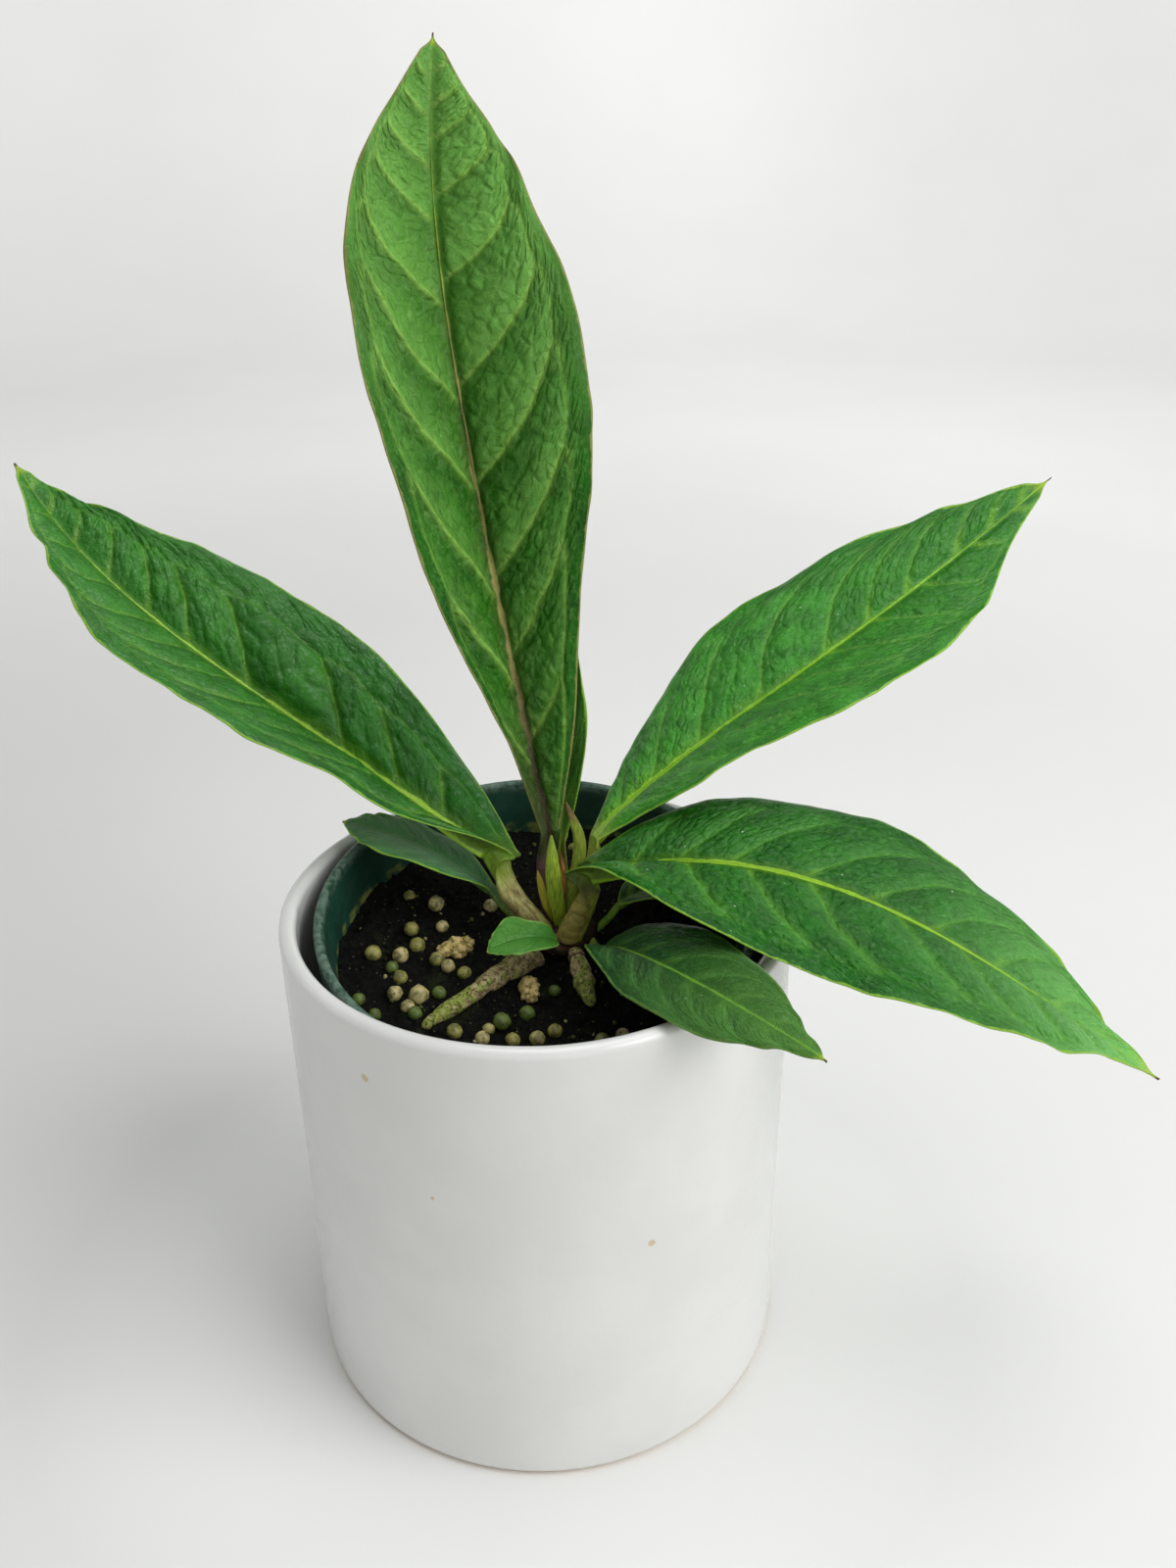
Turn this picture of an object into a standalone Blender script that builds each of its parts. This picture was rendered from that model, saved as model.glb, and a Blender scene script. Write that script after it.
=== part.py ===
"""A potted anthurium: long puckered leaves on a short stem, in a nursery pot that leans in a white cachepot.

Lengths are in millimetres and angles in degrees. The mesh makers turn millimetres into metres.
+Z is up, the front of the plant faces -Y, and the origin is the middle of the cachepot's foot.
"""
import math
import random

import bmesh
import bpy
import numpy as np
from mathutils import Matrix, Vector

MM = 0.001
GAP = 0.3                      # clearance between pieces that touch

# Cachepot: a straight white glazed cylinder with a full round lip
CACHEPOT_RADIUS = 60.0
CACHEPOT_HEIGHT = 124.0
CACHEPOT_WALL = 4.0
CACHEPOT_FLOOR = 6.0
CACHEPOT_FOOT_ROUND = 2.5
CACHEPOT_SIDES = 64

# Nursery pot: thin green plastic, tapered, leaning forward inside the cachepot
NURSERY_LEAN = 8.6             # its back rim stands higher than its front rim
NURSERY_RIM_CENTRE = (0.0, 0.5, 121.8)
NURSERY_RIM_RADIUS = 52.5
NURSERY_RIM_WALL = 2.3
NURSERY_RIM_BAND = 9.0
NURSERY_STEP = 1.6             # the wall under the rim band is this much further in
NURSERY_BASE_RADIUS = 38.9
NURSERY_WALL = 1.2
NURSERY_BEVEL = 1.0
NURSERY_SIDES = 48
DRAIN_HOLES = 5
DRAIN_HOLE_RADIUS = 4.0
DRAIN_HOLE_RING = 26.0
DRAIN_PLUG_REACH = 3.0         # the plugs that cut the holes stand out this far either side of the floor
DRAIN_PLUG_SIDES = 12

# Soil: its surface lies this far under the nursery pot's rim and leans with it
SOIL_DEPTH = 13.8
SOIL_SECTORS = NURSERY_SIDES
SOIL_RING_STEP = 5.8
SOIL_BUMP = 0.6
SOIL_ROUGHNESS = 0.35
SOIL_FLAT_REACH = 10.0         # beside the stem the soil lies flat as far as this, and is level with the
SOIL_FLAT_FADE = 8.0           # rest this much further out
PRILL_SINK = 0.35              # share of a prill's radius that its middle stands above the soil
PRILL_SPACE = 0.6              # least space between a scattered prill and what lies beside it
SCATTERED_PRILLS = 14
SCATTERED_SIZES = (1.3, 1.9)
SCATTER_EDGE = 5.0             # scattered prills keep this far in from the pot's wall
SEED = 11

# Stem: a short stump at the middle of the plant, leaning with the pot
STEM_CENTRE = (6.2, 4.8)
STEM_RADIUS = 6.6
STEM_CROWN_RADIUS = 8.0        # the leaf stalks stand on its wider top
STEM_TOP = 112.8               # height of its top at its middle
STEM_DEPTH = 24.0
STEM_SIDES = 20
# Its profile under the crown, as shares of its radius and depth, and the crown's heights under its top
STEM_TAPER = ((0.62, 1.0), (0.9, 0.6))
STEM_NECK = -4.0
STEM_CROWN = (-2.6, -0.6)
STEM_CROWN_BEVEL = 0.8

# Leaf blades
BLADE_THICKNESS = 0.7
VEINS = 9                      # lateral veins divide each side of a blade into this many pillows
VEIN_SWEEP = (0.33, 0.26)      # how far a vein runs towards the tip: evenly, and bending up at the margin
ROWS_PER_VEIN = 4
ROWS_PER_SMALL_VEIN = 2
ACROSS = (0.0, 0.14, 0.4, 0.64, 0.84, 1.0)
SMALL_ACROSS = (0.0, 0.2, 0.6, 1.0)
COLLECTIVE_VEIN = 0.84         # where the lateral veins join, as a share of the half width
PETIOLE_ROWS = 5
LOBE_FADE = 8                  # how soon the rows of a lobed base straighten out towards the tip

# Each leaf: the rib is a cubic curve from the base of the blade to its tip, and heading is the way
# it points in plan. The half widths are evenly spaced from base to tip. The folds are how far each
# half is lifted at base, middle and tip, the roll turns the whole blade, and the camber arches each
# half. The foot is where the leaf stalk leaves the stem, in the stem's own frame, and the stalk bends
# towards the neck on its way to the blade. The relief is how far the left and the right half pucker up
# between the veins, or sink between them where it is negative. The joint is where the stalk meets the
# rib, and the lobes are how far the margins reach back behind the rib's start, both as shares of it.
LEAVES = {
    "leaf_tall": dict(
        rib=((3.2, 10.6, 136.3), (-10.7, 24.3, 214.6), (-21.1, 37.7, 265.7), (-15.3, 46.6, 305.2)),
        heading=100, roll=(6, 5, 0), fold_left=(46, 36, 14), fold_right=(42, 29, 14), camber=14,
        left=(3.4, 8.8, 16.6, 22.9, 26.3, 28.4, 26.7, 24.2, 17.6, 8.2, 0.3),
        right=(3.4, 12.1, 17.7, 23.5, 28.8, 30.2, 28.4, 23.4, 18.0, 9.2, 0.3),
        foot=(-2.8, 5.0, GAP), neck=(1.9, 10.2, 124.0), stalk=1.9,
        joint=0.0, lobes=0.0, relief=(-0.8, 0.9), wave=0.7, veins=VEINS),
    "leaf_left": dict(
        rib=((-7.2, 12.8, 124.7), (-65.2, 44.0, 159.0), (-112.2, 68.6, 173.9), (-129.0, 77.8, 211.3)),
        heading=152, roll=(-12, -5, 3), fold_left=(90, 34, 36, 29, 24, 21, 20, 21, 22, 22, 22),
        fold_right=(38, 15, 33, 31, 30, 28, 26, 25, 24, 22, 21), camber=14,
        left=(6.0, 11.6, 21.8, 26.8, 27.4, 28.5, 26.5, 21.6, 15.2, 8.6, 0.3),
        right=(5.0, 15.6, 22.0, 26.5, 28.4, 28.4, 26.3, 21.5, 16.0, 7.6, 0.3),
        foot=(-5.0, -0.8, GAP), neck=(-5.9, 6.0, 119.4), stalk=2.1,
        joint=0.03, lobes=0.004, relief=(0.9, 0.9), wave=0.7, veins=VEINS),
    "leaf_right": dict(
        rib=((14.7, 12.5, 132.4), (39.3, 23.7, 153.8), (76.0, 45.4, 160.0), (143.1, 84.0, 199.3)),
        heading=30, roll=(-8, 4, 24), fold_left=(-2, 8, 26), fold_right=(12, 18, -8), camber=12,
        left=(2.6, 8.6, 16.4, 21.8, 26.6, 29.0, 27.8, 23.8, 18.4, 10.2, 0.3),
        right=(2.6, 9.6, 19.4, 22.0, 25.9, 30.0, 28.0, 24.0, 18.1, 7.5, 0.3),
        foot=(5.8, 4.6, GAP), neck=(13.7, 10.8, 124.5), stalk=1.9,
        joint=0.0, lobes=0.0, relief=(0.9, 0.9), wave=0.8, veins=VEINS),
    "leaf_arching": dict(
        rib=((9.6, 3.8, 126.0), (57.9, -23.0, 156.5), (97.3, -18.5, 116.8), (149.1, -20.5, 78.4)),
        heading=-8, roll=(-5, 5, 4), fold_left=(24, 17, 11, 15, 18, 20), fold_right=(54, 1, -11, -4, 3, 13),
        camber=12,
        left=(4.4, 14.0, 21.4, 25.3, 27.0, 26.8, 25.3, 21.0, 15.3, 5.9, 0.3),
        right=(4.4, 14.0, 22.8, 26.3, 27.5, 27.0, 24.4, 20.4, 15.8, 6.1, 0.3),
        foot=(1.4, -4.6, GAP), neck=(11.4, 0.8, 121.0), stalk=2.7,
        joint=0.03, lobes=0.0, relief=(0.9, 0.9), wave=0.7, veins=VEINS),
    "leaf_small_left": dict(
        rib=((-11.3, 14.0, 118.4), (-22.0, 18.2, 124.8), (-34.0, 22.8, 130.0), (-47.9, 28.1, 131.0)),
        heading=158, roll=(4, 1, -8), fold_left=(22, 8, 2), fold_right=(18, 4, 8), camber=10,
        left=(1.6, 4.2, 6.4, 7.6, 8.6, 9.0, 9.0, 8.4, 7.0, 4.4, 0.3),
        right=(1.6, 4.2, 6.2, 7.6, 8.6, 9.0, 8.9, 8.2, 6.8, 4.4, 0.3),
        foot=(-8.1, 2.8, -1.3), neck=(-6.6, 9.0, 113.6), stalk=1.3,
        joint=0.0, lobes=0.0, relief=(0.3, 0.3), wave=0.3, veins=7),
    "leaf_small_front": dict(
        rib=((14.6, -8.8, 112.8), (14.2, -18.5, 126.0), (37.0, -48.0, 128.6), (53.9, -72.1, 128.8)),
        heading=-59, roll=(-4, 6, 6), fold_left=(22, 15, -5), fold_right=(34, 7, -10), camber=10,
        left=(1.5, 4.8, 8.9, 10.8, 12.2, 12.9, 12.3, 11.2, 8.3, 3.9, 0.3),
        right=(1.5, 3.4, 7.0, 9.4, 11.4, 13.3, 13.2, 12.1, 8.9, 3.6, 0.3),
        foot=(6.8, -5.1, -1.6), neck=(14.2, -4.6, 110.6), stalk=1.2,
        joint=0.0, lobes=0.0, relief=(0.35, 0.35), wave=0.4, veins=8),
    "leaf_narrow_back": dict(
        rib=((6.8, 15.5, 131.0), (9.5, 20.0, 152.0), (10.5, 24.5, 172.0), (5.5, 27.0, 192.0)),
        heading=70, roll=(0, 0, 0), fold_left=(40, 35, 25), fold_right=(40, 35, 25), camber=10,
        left=(1.2, 3.4, 5.2, 6.4, 7.0, 7.0, 6.4, 5.4, 4.0, 2.2, 0.3),
        right=(1.2, 3.4, 5.2, 6.4, 7.0, 7.0, 6.4, 5.4, 4.0, 2.2, 0.3),
        foot=(1.1, 6.6, GAP), neck=(6.7, 13.1, 121.0), stalk=1.1,
        joint=0.0, lobes=0.0, relief=(0.2, 0.2), wave=0.3, veins=6),
    "leaf_small_right": dict(
        rib=((20.0, 4.8, 117.9), (26.0, 7.0, 120.8), (33.0, 10.0, 119.5), (40.5, 13.0, 115.8)),
        heading=20, roll=(0, 0, 0), fold_left=(25, 12, 8), fold_right=(25, 12, 8), camber=10,
        left=(0.8, 3.2, 5.0, 6.0, 6.6, 6.6, 6.2, 5.4, 4.2, 2.4, 0.3),
        right=(0.8, 3.2, 5.0, 6.0, 6.6, 6.6, 6.2, 5.4, 4.2, 2.4, 0.3),
        foot=(8.5, -0.8, -0.6), neck=(16.6, 3.8, 113.8), stalk=0.8,
        joint=0.0, lobes=0.0, relief=(0.2, 0.2), wave=0.2, veins=6),
    "leaf_small_folded": dict(
        rib=((4.4, -5.9, 114.8), (0.0, -7.6, 118.4), (-6.6, -9.4, 118.4), (-11.8, -11.4, 116.2)),
        heading=-155, roll=(0, 0, 0), fold_left=(10, 0, -5), fold_right=(40, 30, 15), camber=10,
        left=(1.0, 4.0, 5.0, 5.5, 5.8, 5.9, 5.6, 4.9, 3.8, 2.3, 0.3),
        right=(1.0, 3.6, 4.2, 4.4, 5.0, 6.2, 6.4, 5.6, 4.3, 2.5, 0.3),
        foot=(-4.2, -5.0, GAP), neck=(3.0, -3.4, 114.4), stalk=0.7,
        joint=0.0, lobes=0.0, relief=(0.15, 0.15), wave=0.2, veins=5),
}

# Sheaths that once wrapped the buds: where each stands on the stem, the curve up to its tip, half width
# and half thickness, and the way the flat side faces in plan
SHEATHS = {
    "sheath_front": dict(
        foot=(-0.4, 0.0), path=((4.6, 4.3, 122.0), (4.1, 4.5, 130.0), (4.0, 5.0, 137.6)),
        half_width=1.75, half_thickness=1.0, facing=-90),
    "sheath_right": dict(
        foot=(2.7, 1.2), path=((9.2, 7.8, 121.0), (10.8, 9.2, 133.0), (7.8, 9.2, 144.0)),
        half_width=1.7, half_thickness=0.8, facing=-70),
    "sheath_small": dict(
        foot=(-2.0, 1.6), path=((2.5, 5.6, 118.0), (1.2, 5.4, 124.0), (0.5, 5.4, 128.0)),
        half_width=0.9, half_thickness=0.45, facing=-95),
    "sheath_dry": dict(
        foot=(-0.1, 2.1), path=((6.3, 7.0, 119.0), (6.6, 7.0, 126.0), (6.2, 7.2, 131.5)),
        half_width=0.7, half_thickness=0.5, facing=-80),
}

SHEATH_STEPS = 8
SHEATH_SIDES = 8

# Aerial roots: points along the middle from the stem outwards, with the radius at each
ROOT_STEPS = 12
ROOT_SIDES = 8
ROOT_TIP = 0.5                 # the rounded end stands this far beyond the last ring
ROOT_LUMPS = 0.07
ROOTS = {
    "root_left": dict(
        points=((0.0, -1.8, 108.5), (-6.5, -6.1, 107.9), (-12.9, -11.4, 106.9), (-22.1, -19.4, 105.6),
                (-26.8, -23.7, 104.9)),
        radii=(2.5, 3.0, 2.4, 1.8, 1.0)),
    "root_front": dict(
        points=((8.8, -2.8, 109.9), (9.6, -6.8, 109.0), (10.6, -12.4, 107.2), (12.0, -19.2, 105.6)),
        radii=(1.8, 2.1, 2.4, 0.9)),
}

# Prills of fertiliser and lumps of perlite on the soil that show best, as x, y and radius
PRILLS = (
    (-39.7, 1.5, 2.0), (-29.2, 3.6, 2.0), (-33.0, 0.6, 2.0), (-34.8, -3.6, 1.6), (-32.8, -6.6, 1.8),
    (-33.6, -11.8, 1.9), (-25.3, 19.6, 2.1), (-23.4, 10.4, 1.6), (-21.6, -3.4, 1.7), (-17.6, -6.6, 1.7),
    (-23.4, -12.6, 1.7), (-28.0, -13.6, 2.4), (-30.4, -17.0, 1.7), (-28.6, -19.4, 1.7), (-42.0, -13.2, 1.6),
    (-38.0, -17.8, 1.5), (-19.4, -25.6, 1.8), (-13.2, -27.4, 1.7), (-8.8, -22.4, 2.1), (-11.8, -24.4, 1.4),
    (-11.6, 17.6, 1.8), (-3.0, -20.2, 1.9), (-6.4, -27.6, 1.8), (-0.8, -28.4, 1.8), (3.2, -26.6, 1.7),
    (13.6, -29.4, 1.7), (18.4, -28.6, 1.6), (-24.2, -0.6, 1.9),
)
LUMPS = (
    (-20.2, 3.2, 2.5), (-17.6, 4.0, 2.2), (-19.0, 1.5, 2.1), (-22.4, 2.0, 2.0), (-2.4, -12.0, 2.4),
    (-2.2, -14.6, 2.1),
)

COLOURS = {
    "glaze": ((0.86, 0.86, 0.85), 0.25),
    "green_plastic": ((0.03, 0.10, 0.07), 0.5),
    "soil": ((0.012, 0.011, 0.010), 0.95),
    "leaf": ((0.08, 0.26, 0.05), 0.45),
    "young_leaf": ((0.05, 0.16, 0.06), 0.5),
    "sheath": ((0.33, 0.36, 0.05), 0.55),
    "dry_sheath": ((0.32, 0.14, 0.05), 0.8),
    "bark": ((0.10, 0.06, 0.03), 0.85),
    "root": ((0.30, 0.26, 0.15), 0.9),
}


def clear_scene():
    for obj in list(bpy.data.objects):
        bpy.data.objects.remove(obj, do_unlink=True)


def material(name):
    colour, roughness = COLOURS[name]
    made = bpy.data.materials.get(name) or bpy.data.materials.new(name)
    made.use_nodes = True
    shader = made.node_tree.nodes["Principled BSDF"]
    shader.inputs["Base Color"].default_value = (*colour, 1.0)
    shader.inputs["Roughness"].default_value = roughness
    shader.inputs["Metallic"].default_value = 0.0
    return made


def solid(name, points, faces, finish, smooth_angle=40):
    """A named object from points in millimetres and its faces, with the normals facing out."""
    mesh = bpy.data.meshes.new(name)
    mesh.from_pydata([tuple(float(c) * MM for c in p) for p in points], [], faces)
    bm = bmesh.new()
    bm.from_mesh(mesh)
    bmesh.ops.recalc_face_normals(bm, faces=bm.faces)
    bm.to_mesh(mesh)
    bm.free()
    mesh.shade_smooth()
    mesh.set_sharp_from_angle(angle=math.radians(smooth_angle))
    mesh.materials.append(material(finish))
    obj = bpy.data.objects.new(name, mesh)
    bpy.context.scene.collection.objects.link(obj)
    return obj


def turned(profile, sides):
    """Points and faces of a profile of (radius, height) turned about Z; it starts and ends on the axis."""
    points = [(0.0, 0.0, profile[0][1])]
    for radius, height in profile[1:-1]:
        for k in range(sides):
            angle = 2 * math.pi * k / sides
            points.append((radius * math.cos(angle), radius * math.sin(angle), height))
    points.append((0.0, 0.0, profile[-1][1]))
    rings = len(profile) - 2
    faces = []
    for k in range(sides):
        after = (k + 1) % sides
        faces.append((0, 1 + after, 1 + k))
        for ring in range(rings - 1):
            low = 1 + ring * sides
            faces.append((low + k, low + after, low + sides + after, low + sides + k))
        last = 1 + (rings - 1) * sides
        faces.append((last + k, last + after, len(points) - 1))
    return points, faces


def arc(centre, radius, start, end, steps):
    """Points of an arc in the plane of a profile, from one angle to another."""
    angles = [math.radians(start + (end - start) * k / steps) for k in range(steps + 1)]
    return [(centre[0] + radius * math.cos(a), centre[1] + radius * math.sin(a)) for a in angles]


def nursery_frame():
    """Where the nursery pot stands: the middle of its rim, with the lean."""
    lean = Matrix.Rotation(math.radians(NURSERY_LEAN), 4, "X")
    return Matrix.Translation(Vector(NURSERY_RIM_CENTRE)) @ lean


def placed(points, frame):
    return [tuple(frame @ Vector(p)) for p in points]


def nursery_height():
    """The pot reaches down until its front edge stands just clear of the cachepot's floor."""
    lean = math.radians(NURSERY_LEAN)
    drop = NURSERY_RIM_CENTRE[2] - CACHEPOT_FLOOR - GAP - NURSERY_BASE_RADIUS * math.sin(lean)
    return drop / math.cos(lean)


def nursery_inside(depth):
    """Inner radius of the nursery pot this far under its rim."""
    top = NURSERY_RIM_RADIUS - NURSERY_STEP
    share = depth / nursery_height()
    return top + (NURSERY_BASE_RADIUS - top) * share - NURSERY_WALL


def make_cachepot():
    inner = CACHEPOT_RADIUS - CACHEPOT_WALL
    lip = CACHEPOT_WALL / 2
    foot = CACHEPOT_FOOT_ROUND
    profile = [(0.0, 0.0)]
    profile += arc((CACHEPOT_RADIUS - foot, foot), foot, -90, 0, 3)
    profile += arc((CACHEPOT_RADIUS - lip, CACHEPOT_HEIGHT - lip), lip, 0, 180, 6)
    profile += arc((inner - foot, CACHEPOT_FLOOR + foot), foot, 0, -90, 2)
    profile += [(0.0, CACHEPOT_FLOOR)]
    points, faces = turned(profile, CACHEPOT_SIDES)
    return solid("cachepot", points, faces, "glaze")


def make_nursery_pot():
    height = nursery_height()
    floor = -height + NURSERY_WALL
    lip = NURSERY_RIM_WALL / 2
    under_band = NURSERY_RIM_RADIUS - NURSERY_STEP
    bevel = NURSERY_BEVEL
    profile = [(0.0, -height), (NURSERY_BASE_RADIUS - bevel, -height), (NURSERY_BASE_RADIUS, -height + bevel)]
    profile += [(under_band - bevel, -NURSERY_RIM_BAND - bevel), (NURSERY_RIM_RADIUS, -NURSERY_RIM_BAND)]
    profile += arc((NURSERY_RIM_RADIUS - lip, -lip), lip, 0, 180, 4)
    profile += [(nursery_inside(NURSERY_RIM_BAND), -NURSERY_RIM_BAND)]
    profile += [(nursery_inside(height - NURSERY_WALL), floor), (0.0, floor)]
    points, faces = turned(profile, NURSERY_SIDES)
    pot = solid("nursery_pot", placed(points, nursery_frame()), faces, "green_plastic")
    cut(pot, [drain_hole(k) for k in range(DRAIN_HOLES)])
    return pot


def drain_hole(index):
    """A plug for one drain hole in the nursery pot's floor."""
    angle = 2 * math.pi * index / DRAIN_HOLES + math.pi / 2
    reach = DRAIN_PLUG_REACH
    profile = [(0.0, -reach), (DRAIN_HOLE_RADIUS, -reach), (DRAIN_HOLE_RADIUS, reach), (0.0, reach)]
    points, faces = turned(profile, DRAIN_PLUG_SIDES)
    x, y = DRAIN_HOLE_RING * math.cos(angle), DRAIN_HOLE_RING * math.sin(angle)
    frame = nursery_frame() @ Matrix.Translation((x, y, -nursery_height()))
    return solid(f"drain_plug_{index}", placed(points, frame), faces, "green_plastic")


def soil_height(x, y):
    """Height of the soil, in the nursery pot's own frame, over this place."""
    waves = math.sin(x * 0.31 + 0.7) * math.cos(y * 0.27 + 1.9) + 0.6 * math.sin(x * 0.13 - y * 0.17 + 0.4)
    return -SOIL_DEPTH + SOIL_BUMP * waves * away_from_stem(x, y)


def away_from_stem(x, y):
    """0 beside the stem, where the soil lies flat, rising to 1 further out."""
    beyond = math.dist((x, y), STEM_CENTRE) - SOIL_FLAT_REACH
    return min(1.0, max(0.0, beyond / SOIL_FLAT_FADE))


def make_soil():
    """The soil fills the nursery pot; its surface is a polar grid with low waves and prills pressed in."""
    floor = -nursery_height() + NURSERY_WALL + GAP
    edge = nursery_inside(SOIL_DEPTH + SOIL_BUMP * 2) - GAP
    radii = list(np.arange(SOIL_RING_STEP, edge - 1.0, SOIL_RING_STEP)) + [edge]
    draw = random.Random(SEED)
    points = [(0.0, 0.0, soil_height(0.0, 0.0))]
    for radius in radii:
        for k in range(SOIL_SECTORS):
            angle = 2 * math.pi * k / SOIL_SECTORS
            x, y = radius * math.cos(angle), radius * math.sin(angle)
            rough = draw.uniform(-SOIL_ROUGHNESS, SOIL_ROUGHNESS) if radius < edge else 0.0
            points.append((x, y, soil_height(x, y) + rough * away_from_stem(x, y)))
    base = nursery_inside(nursery_height() - NURSERY_WALL) - GAP
    for k in range(SOIL_SECTORS):
        angle = 2 * math.pi * k / SOIL_SECTORS
        points.append((base * math.cos(angle), base * math.sin(angle), floor))
    points.append((0.0, 0.0, floor))
    faces = []
    for k in range(SOIL_SECTORS):
        after = (k + 1) % SOIL_SECTORS
        faces.append((0, 1 + k, 1 + after))
        for ring in range(len(radii)):
            low = 1 + ring * SOIL_SECTORS
            a, b = low + k, low + after
            c, d = b + SOIL_SECTORS, a + SOIL_SECTORS
            faces.append((a, d, c))
            faces.append((a, c, b))
        last = 1 + len(radii) * SOIL_SECTORS
        faces.append((last + k, last + after, len(points) - 1))
    soil = solid("soil", placed(points, nursery_frame()), faces, "soil")
    join(soil, prill_bodies())
    cut(soil, [stem_body("stem_hole", GAP)] + [root_body(name, GAP) for name in ROOTS])
    return soil


def prill_places():
    """The prills that show, the lumps, and a seeded scatter over the rest of the soil."""
    places = list(PRILLS) + list(LUMPS)
    draw = random.Random(SEED)
    reach = nursery_inside(SOIL_DEPTH) - SCATTER_EDGE
    while len(places) < len(PRILLS) + len(LUMPS) + SCATTERED_PRILLS:
        angle, radius = draw.uniform(0, 2 * math.pi), reach * math.sqrt(draw.random())
        x, y, size = radius * math.cos(angle), radius * math.sin(angle), draw.uniform(*SCATTERED_SIZES)
        if all(math.dist((x, y), place[:2]) > size + place[2] + PRILL_SPACE for place in places):
            places.append((x, y, size))
    return [place for place in places if clear_of_growth(*place)]


def clear_of_growth(x, y, size):
    """Whether a prill stays clear of the stem and the roots."""
    if math.dist((x, y), STEM_CENTRE) < STEM_RADIUS + size + PRILL_SPACE:
        return False
    for root in ROOTS.values():
        path = smooth_path(root["points"], ROOT_STEPS)
        radii = eased(root["radii"], np.linspace(0, 1, ROOT_STEPS))
        if min(math.dist((x, y), p[:2]) - radius for p, radius in zip(path, radii)) < size + PRILL_SPACE:
            return False
    return True


def prill_bodies():
    bodies = []
    for index, (x, y, size) in enumerate(prill_places()):
        frame = nursery_frame()
        local = frame.inverted() @ Vector((x, y, soil_world_height(x, y)))
        centre = frame @ Vector((local.x, local.y, soil_height(local.x, local.y) + size * PRILL_SINK))
        bpy.ops.mesh.primitive_ico_sphere_add(subdivisions=1, radius=size * MM * 1.08, location=centre * MM)
        body = bpy.context.object
        body.name = f"prill_{index}"
        body.rotation_euler = (index * 1.3, index * 2.1, index * 0.7)
        bodies.append(body)
    return bodies


def soil_world_height(x, y):
    """Height of the leaning soil plane over a place in plan."""
    lean = math.radians(NURSERY_LEAN)
    cx, cy, cz = NURSERY_RIM_CENTRE
    middle_y = cy + SOIL_DEPTH * math.sin(lean)
    return cz - SOIL_DEPTH * math.cos(lean) + (y - middle_y) * math.tan(lean)


def combine(obj, others, operation):
    """Joins the others to an object, or cuts them from it, and removes them."""
    group = bpy.data.collections.new(f"{obj.name}_{operation.lower()}")
    bpy.context.scene.collection.children.link(group)
    for other in others:
        for holder in list(other.users_collection):
            holder.objects.unlink(other)
        group.objects.link(other)
    modifier = obj.modifiers.new(operation.title(), "BOOLEAN")
    modifier.operation = operation
    modifier.solver = "EXACT"
    modifier.operand_type = "COLLECTION"
    modifier.collection = group
    bpy.context.view_layer.update()
    graph = bpy.context.evaluated_depsgraph_get()
    mesh = bpy.data.meshes.new_from_object(obj.evaluated_get(graph))
    obj.modifiers.clear()
    obj.data = mesh
    for other in others:
        bpy.data.objects.remove(other, do_unlink=True)
    bpy.data.collections.remove(group)


def join(obj, others):
    combine(obj, others, "UNION")


def cut(obj, others):
    combine(obj, others, "DIFFERENCE")


def stem_frame():
    """The stem's own frame: the middle of its top, leaning with the pot."""
    top = Vector((*STEM_CENTRE, STEM_TOP))
    return Matrix.Translation(top) @ Matrix.Rotation(math.radians(NURSERY_LEAN), 4, "X")


def stem_body(name, grow=0.0):
    """The short stem, or with grow the hole that it stands in."""
    radius = STEM_RADIUS + grow
    low = -STEM_DEPTH - grow
    crown = STEM_CROWN_RADIUS + grow
    profile = [(0.0, low)] + [(radius * wide, low * deep) for wide, deep in STEM_TAPER]
    profile += [(radius, STEM_NECK)] + [(crown, height) for height in STEM_CROWN]
    profile += [(crown - STEM_CROWN_BEVEL, grow), (0.0, grow)]
    points, faces = turned(profile, STEM_SIDES)
    return solid(name, placed(points, stem_frame()), faces, "bark")


def bezier(points, t):
    """Places and unit directions at t along the cubic curve of four points."""
    p0, p1, p2, p3 = (np.asarray(p, float) for p in points)
    t = np.asarray(t, float)[..., None]
    place = (1 - t)**3 * p0 + 3 * t * (1 - t)**2 * p1 + 3 * t**2 * (1 - t) * p2 + t**3 * p3
    way = (1 - t)**2 * (p1 - p0) + 2 * t * (1 - t) * (p2 - p1) + t**2 * (p3 - p2)
    return place, way / np.linalg.norm(way, axis=-1, keepdims=True)


def eased(values, t):
    """A smooth curve through evenly spaced values, read at t from 0 to 1."""
    values = np.asarray(values, float)
    last = len(values) - 1
    x = np.clip(np.asarray(t, float), 0, 1) * last
    i = np.minimum(x.astype(int), last - 1)
    f = x - i
    padded = np.concatenate([[2 * values[0] - values[1]], values, [2 * values[-1] - values[-2]]])
    a, b, c, d = padded[i], padded[i + 1], padded[i + 2], padded[i + 3]
    return b + 0.5 * f * (c - a + f * (2 * a - 5 * b + 4 * c - d + f * (3 * (b - c) + d - a)))


def smooth_path(points, steps):
    """Points along a smooth curve through the given points."""
    t = np.linspace(0, 1, steps)
    columns = [eased([p[k] for p in points], t) for k in range(3)]
    return np.stack(columns, -1)


def spread(heading, way, roll):
    """The sideways and upward directions of a blade whose rib runs along way."""
    angle = math.radians(heading)
    side = np.array([-math.sin(angle), math.cos(angle), 0.0]) * np.ones_like(way)
    side -= (side * way).sum(-1, keepdims=True) * way
    side /= np.linalg.norm(side, axis=-1, keepdims=True)
    up = np.cross(way, side)
    cos, sin = np.cos(np.radians(roll))[..., None], np.sin(np.radians(roll))[..., None]
    return cos * side + sin * up, cos * up - sin * side


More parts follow.
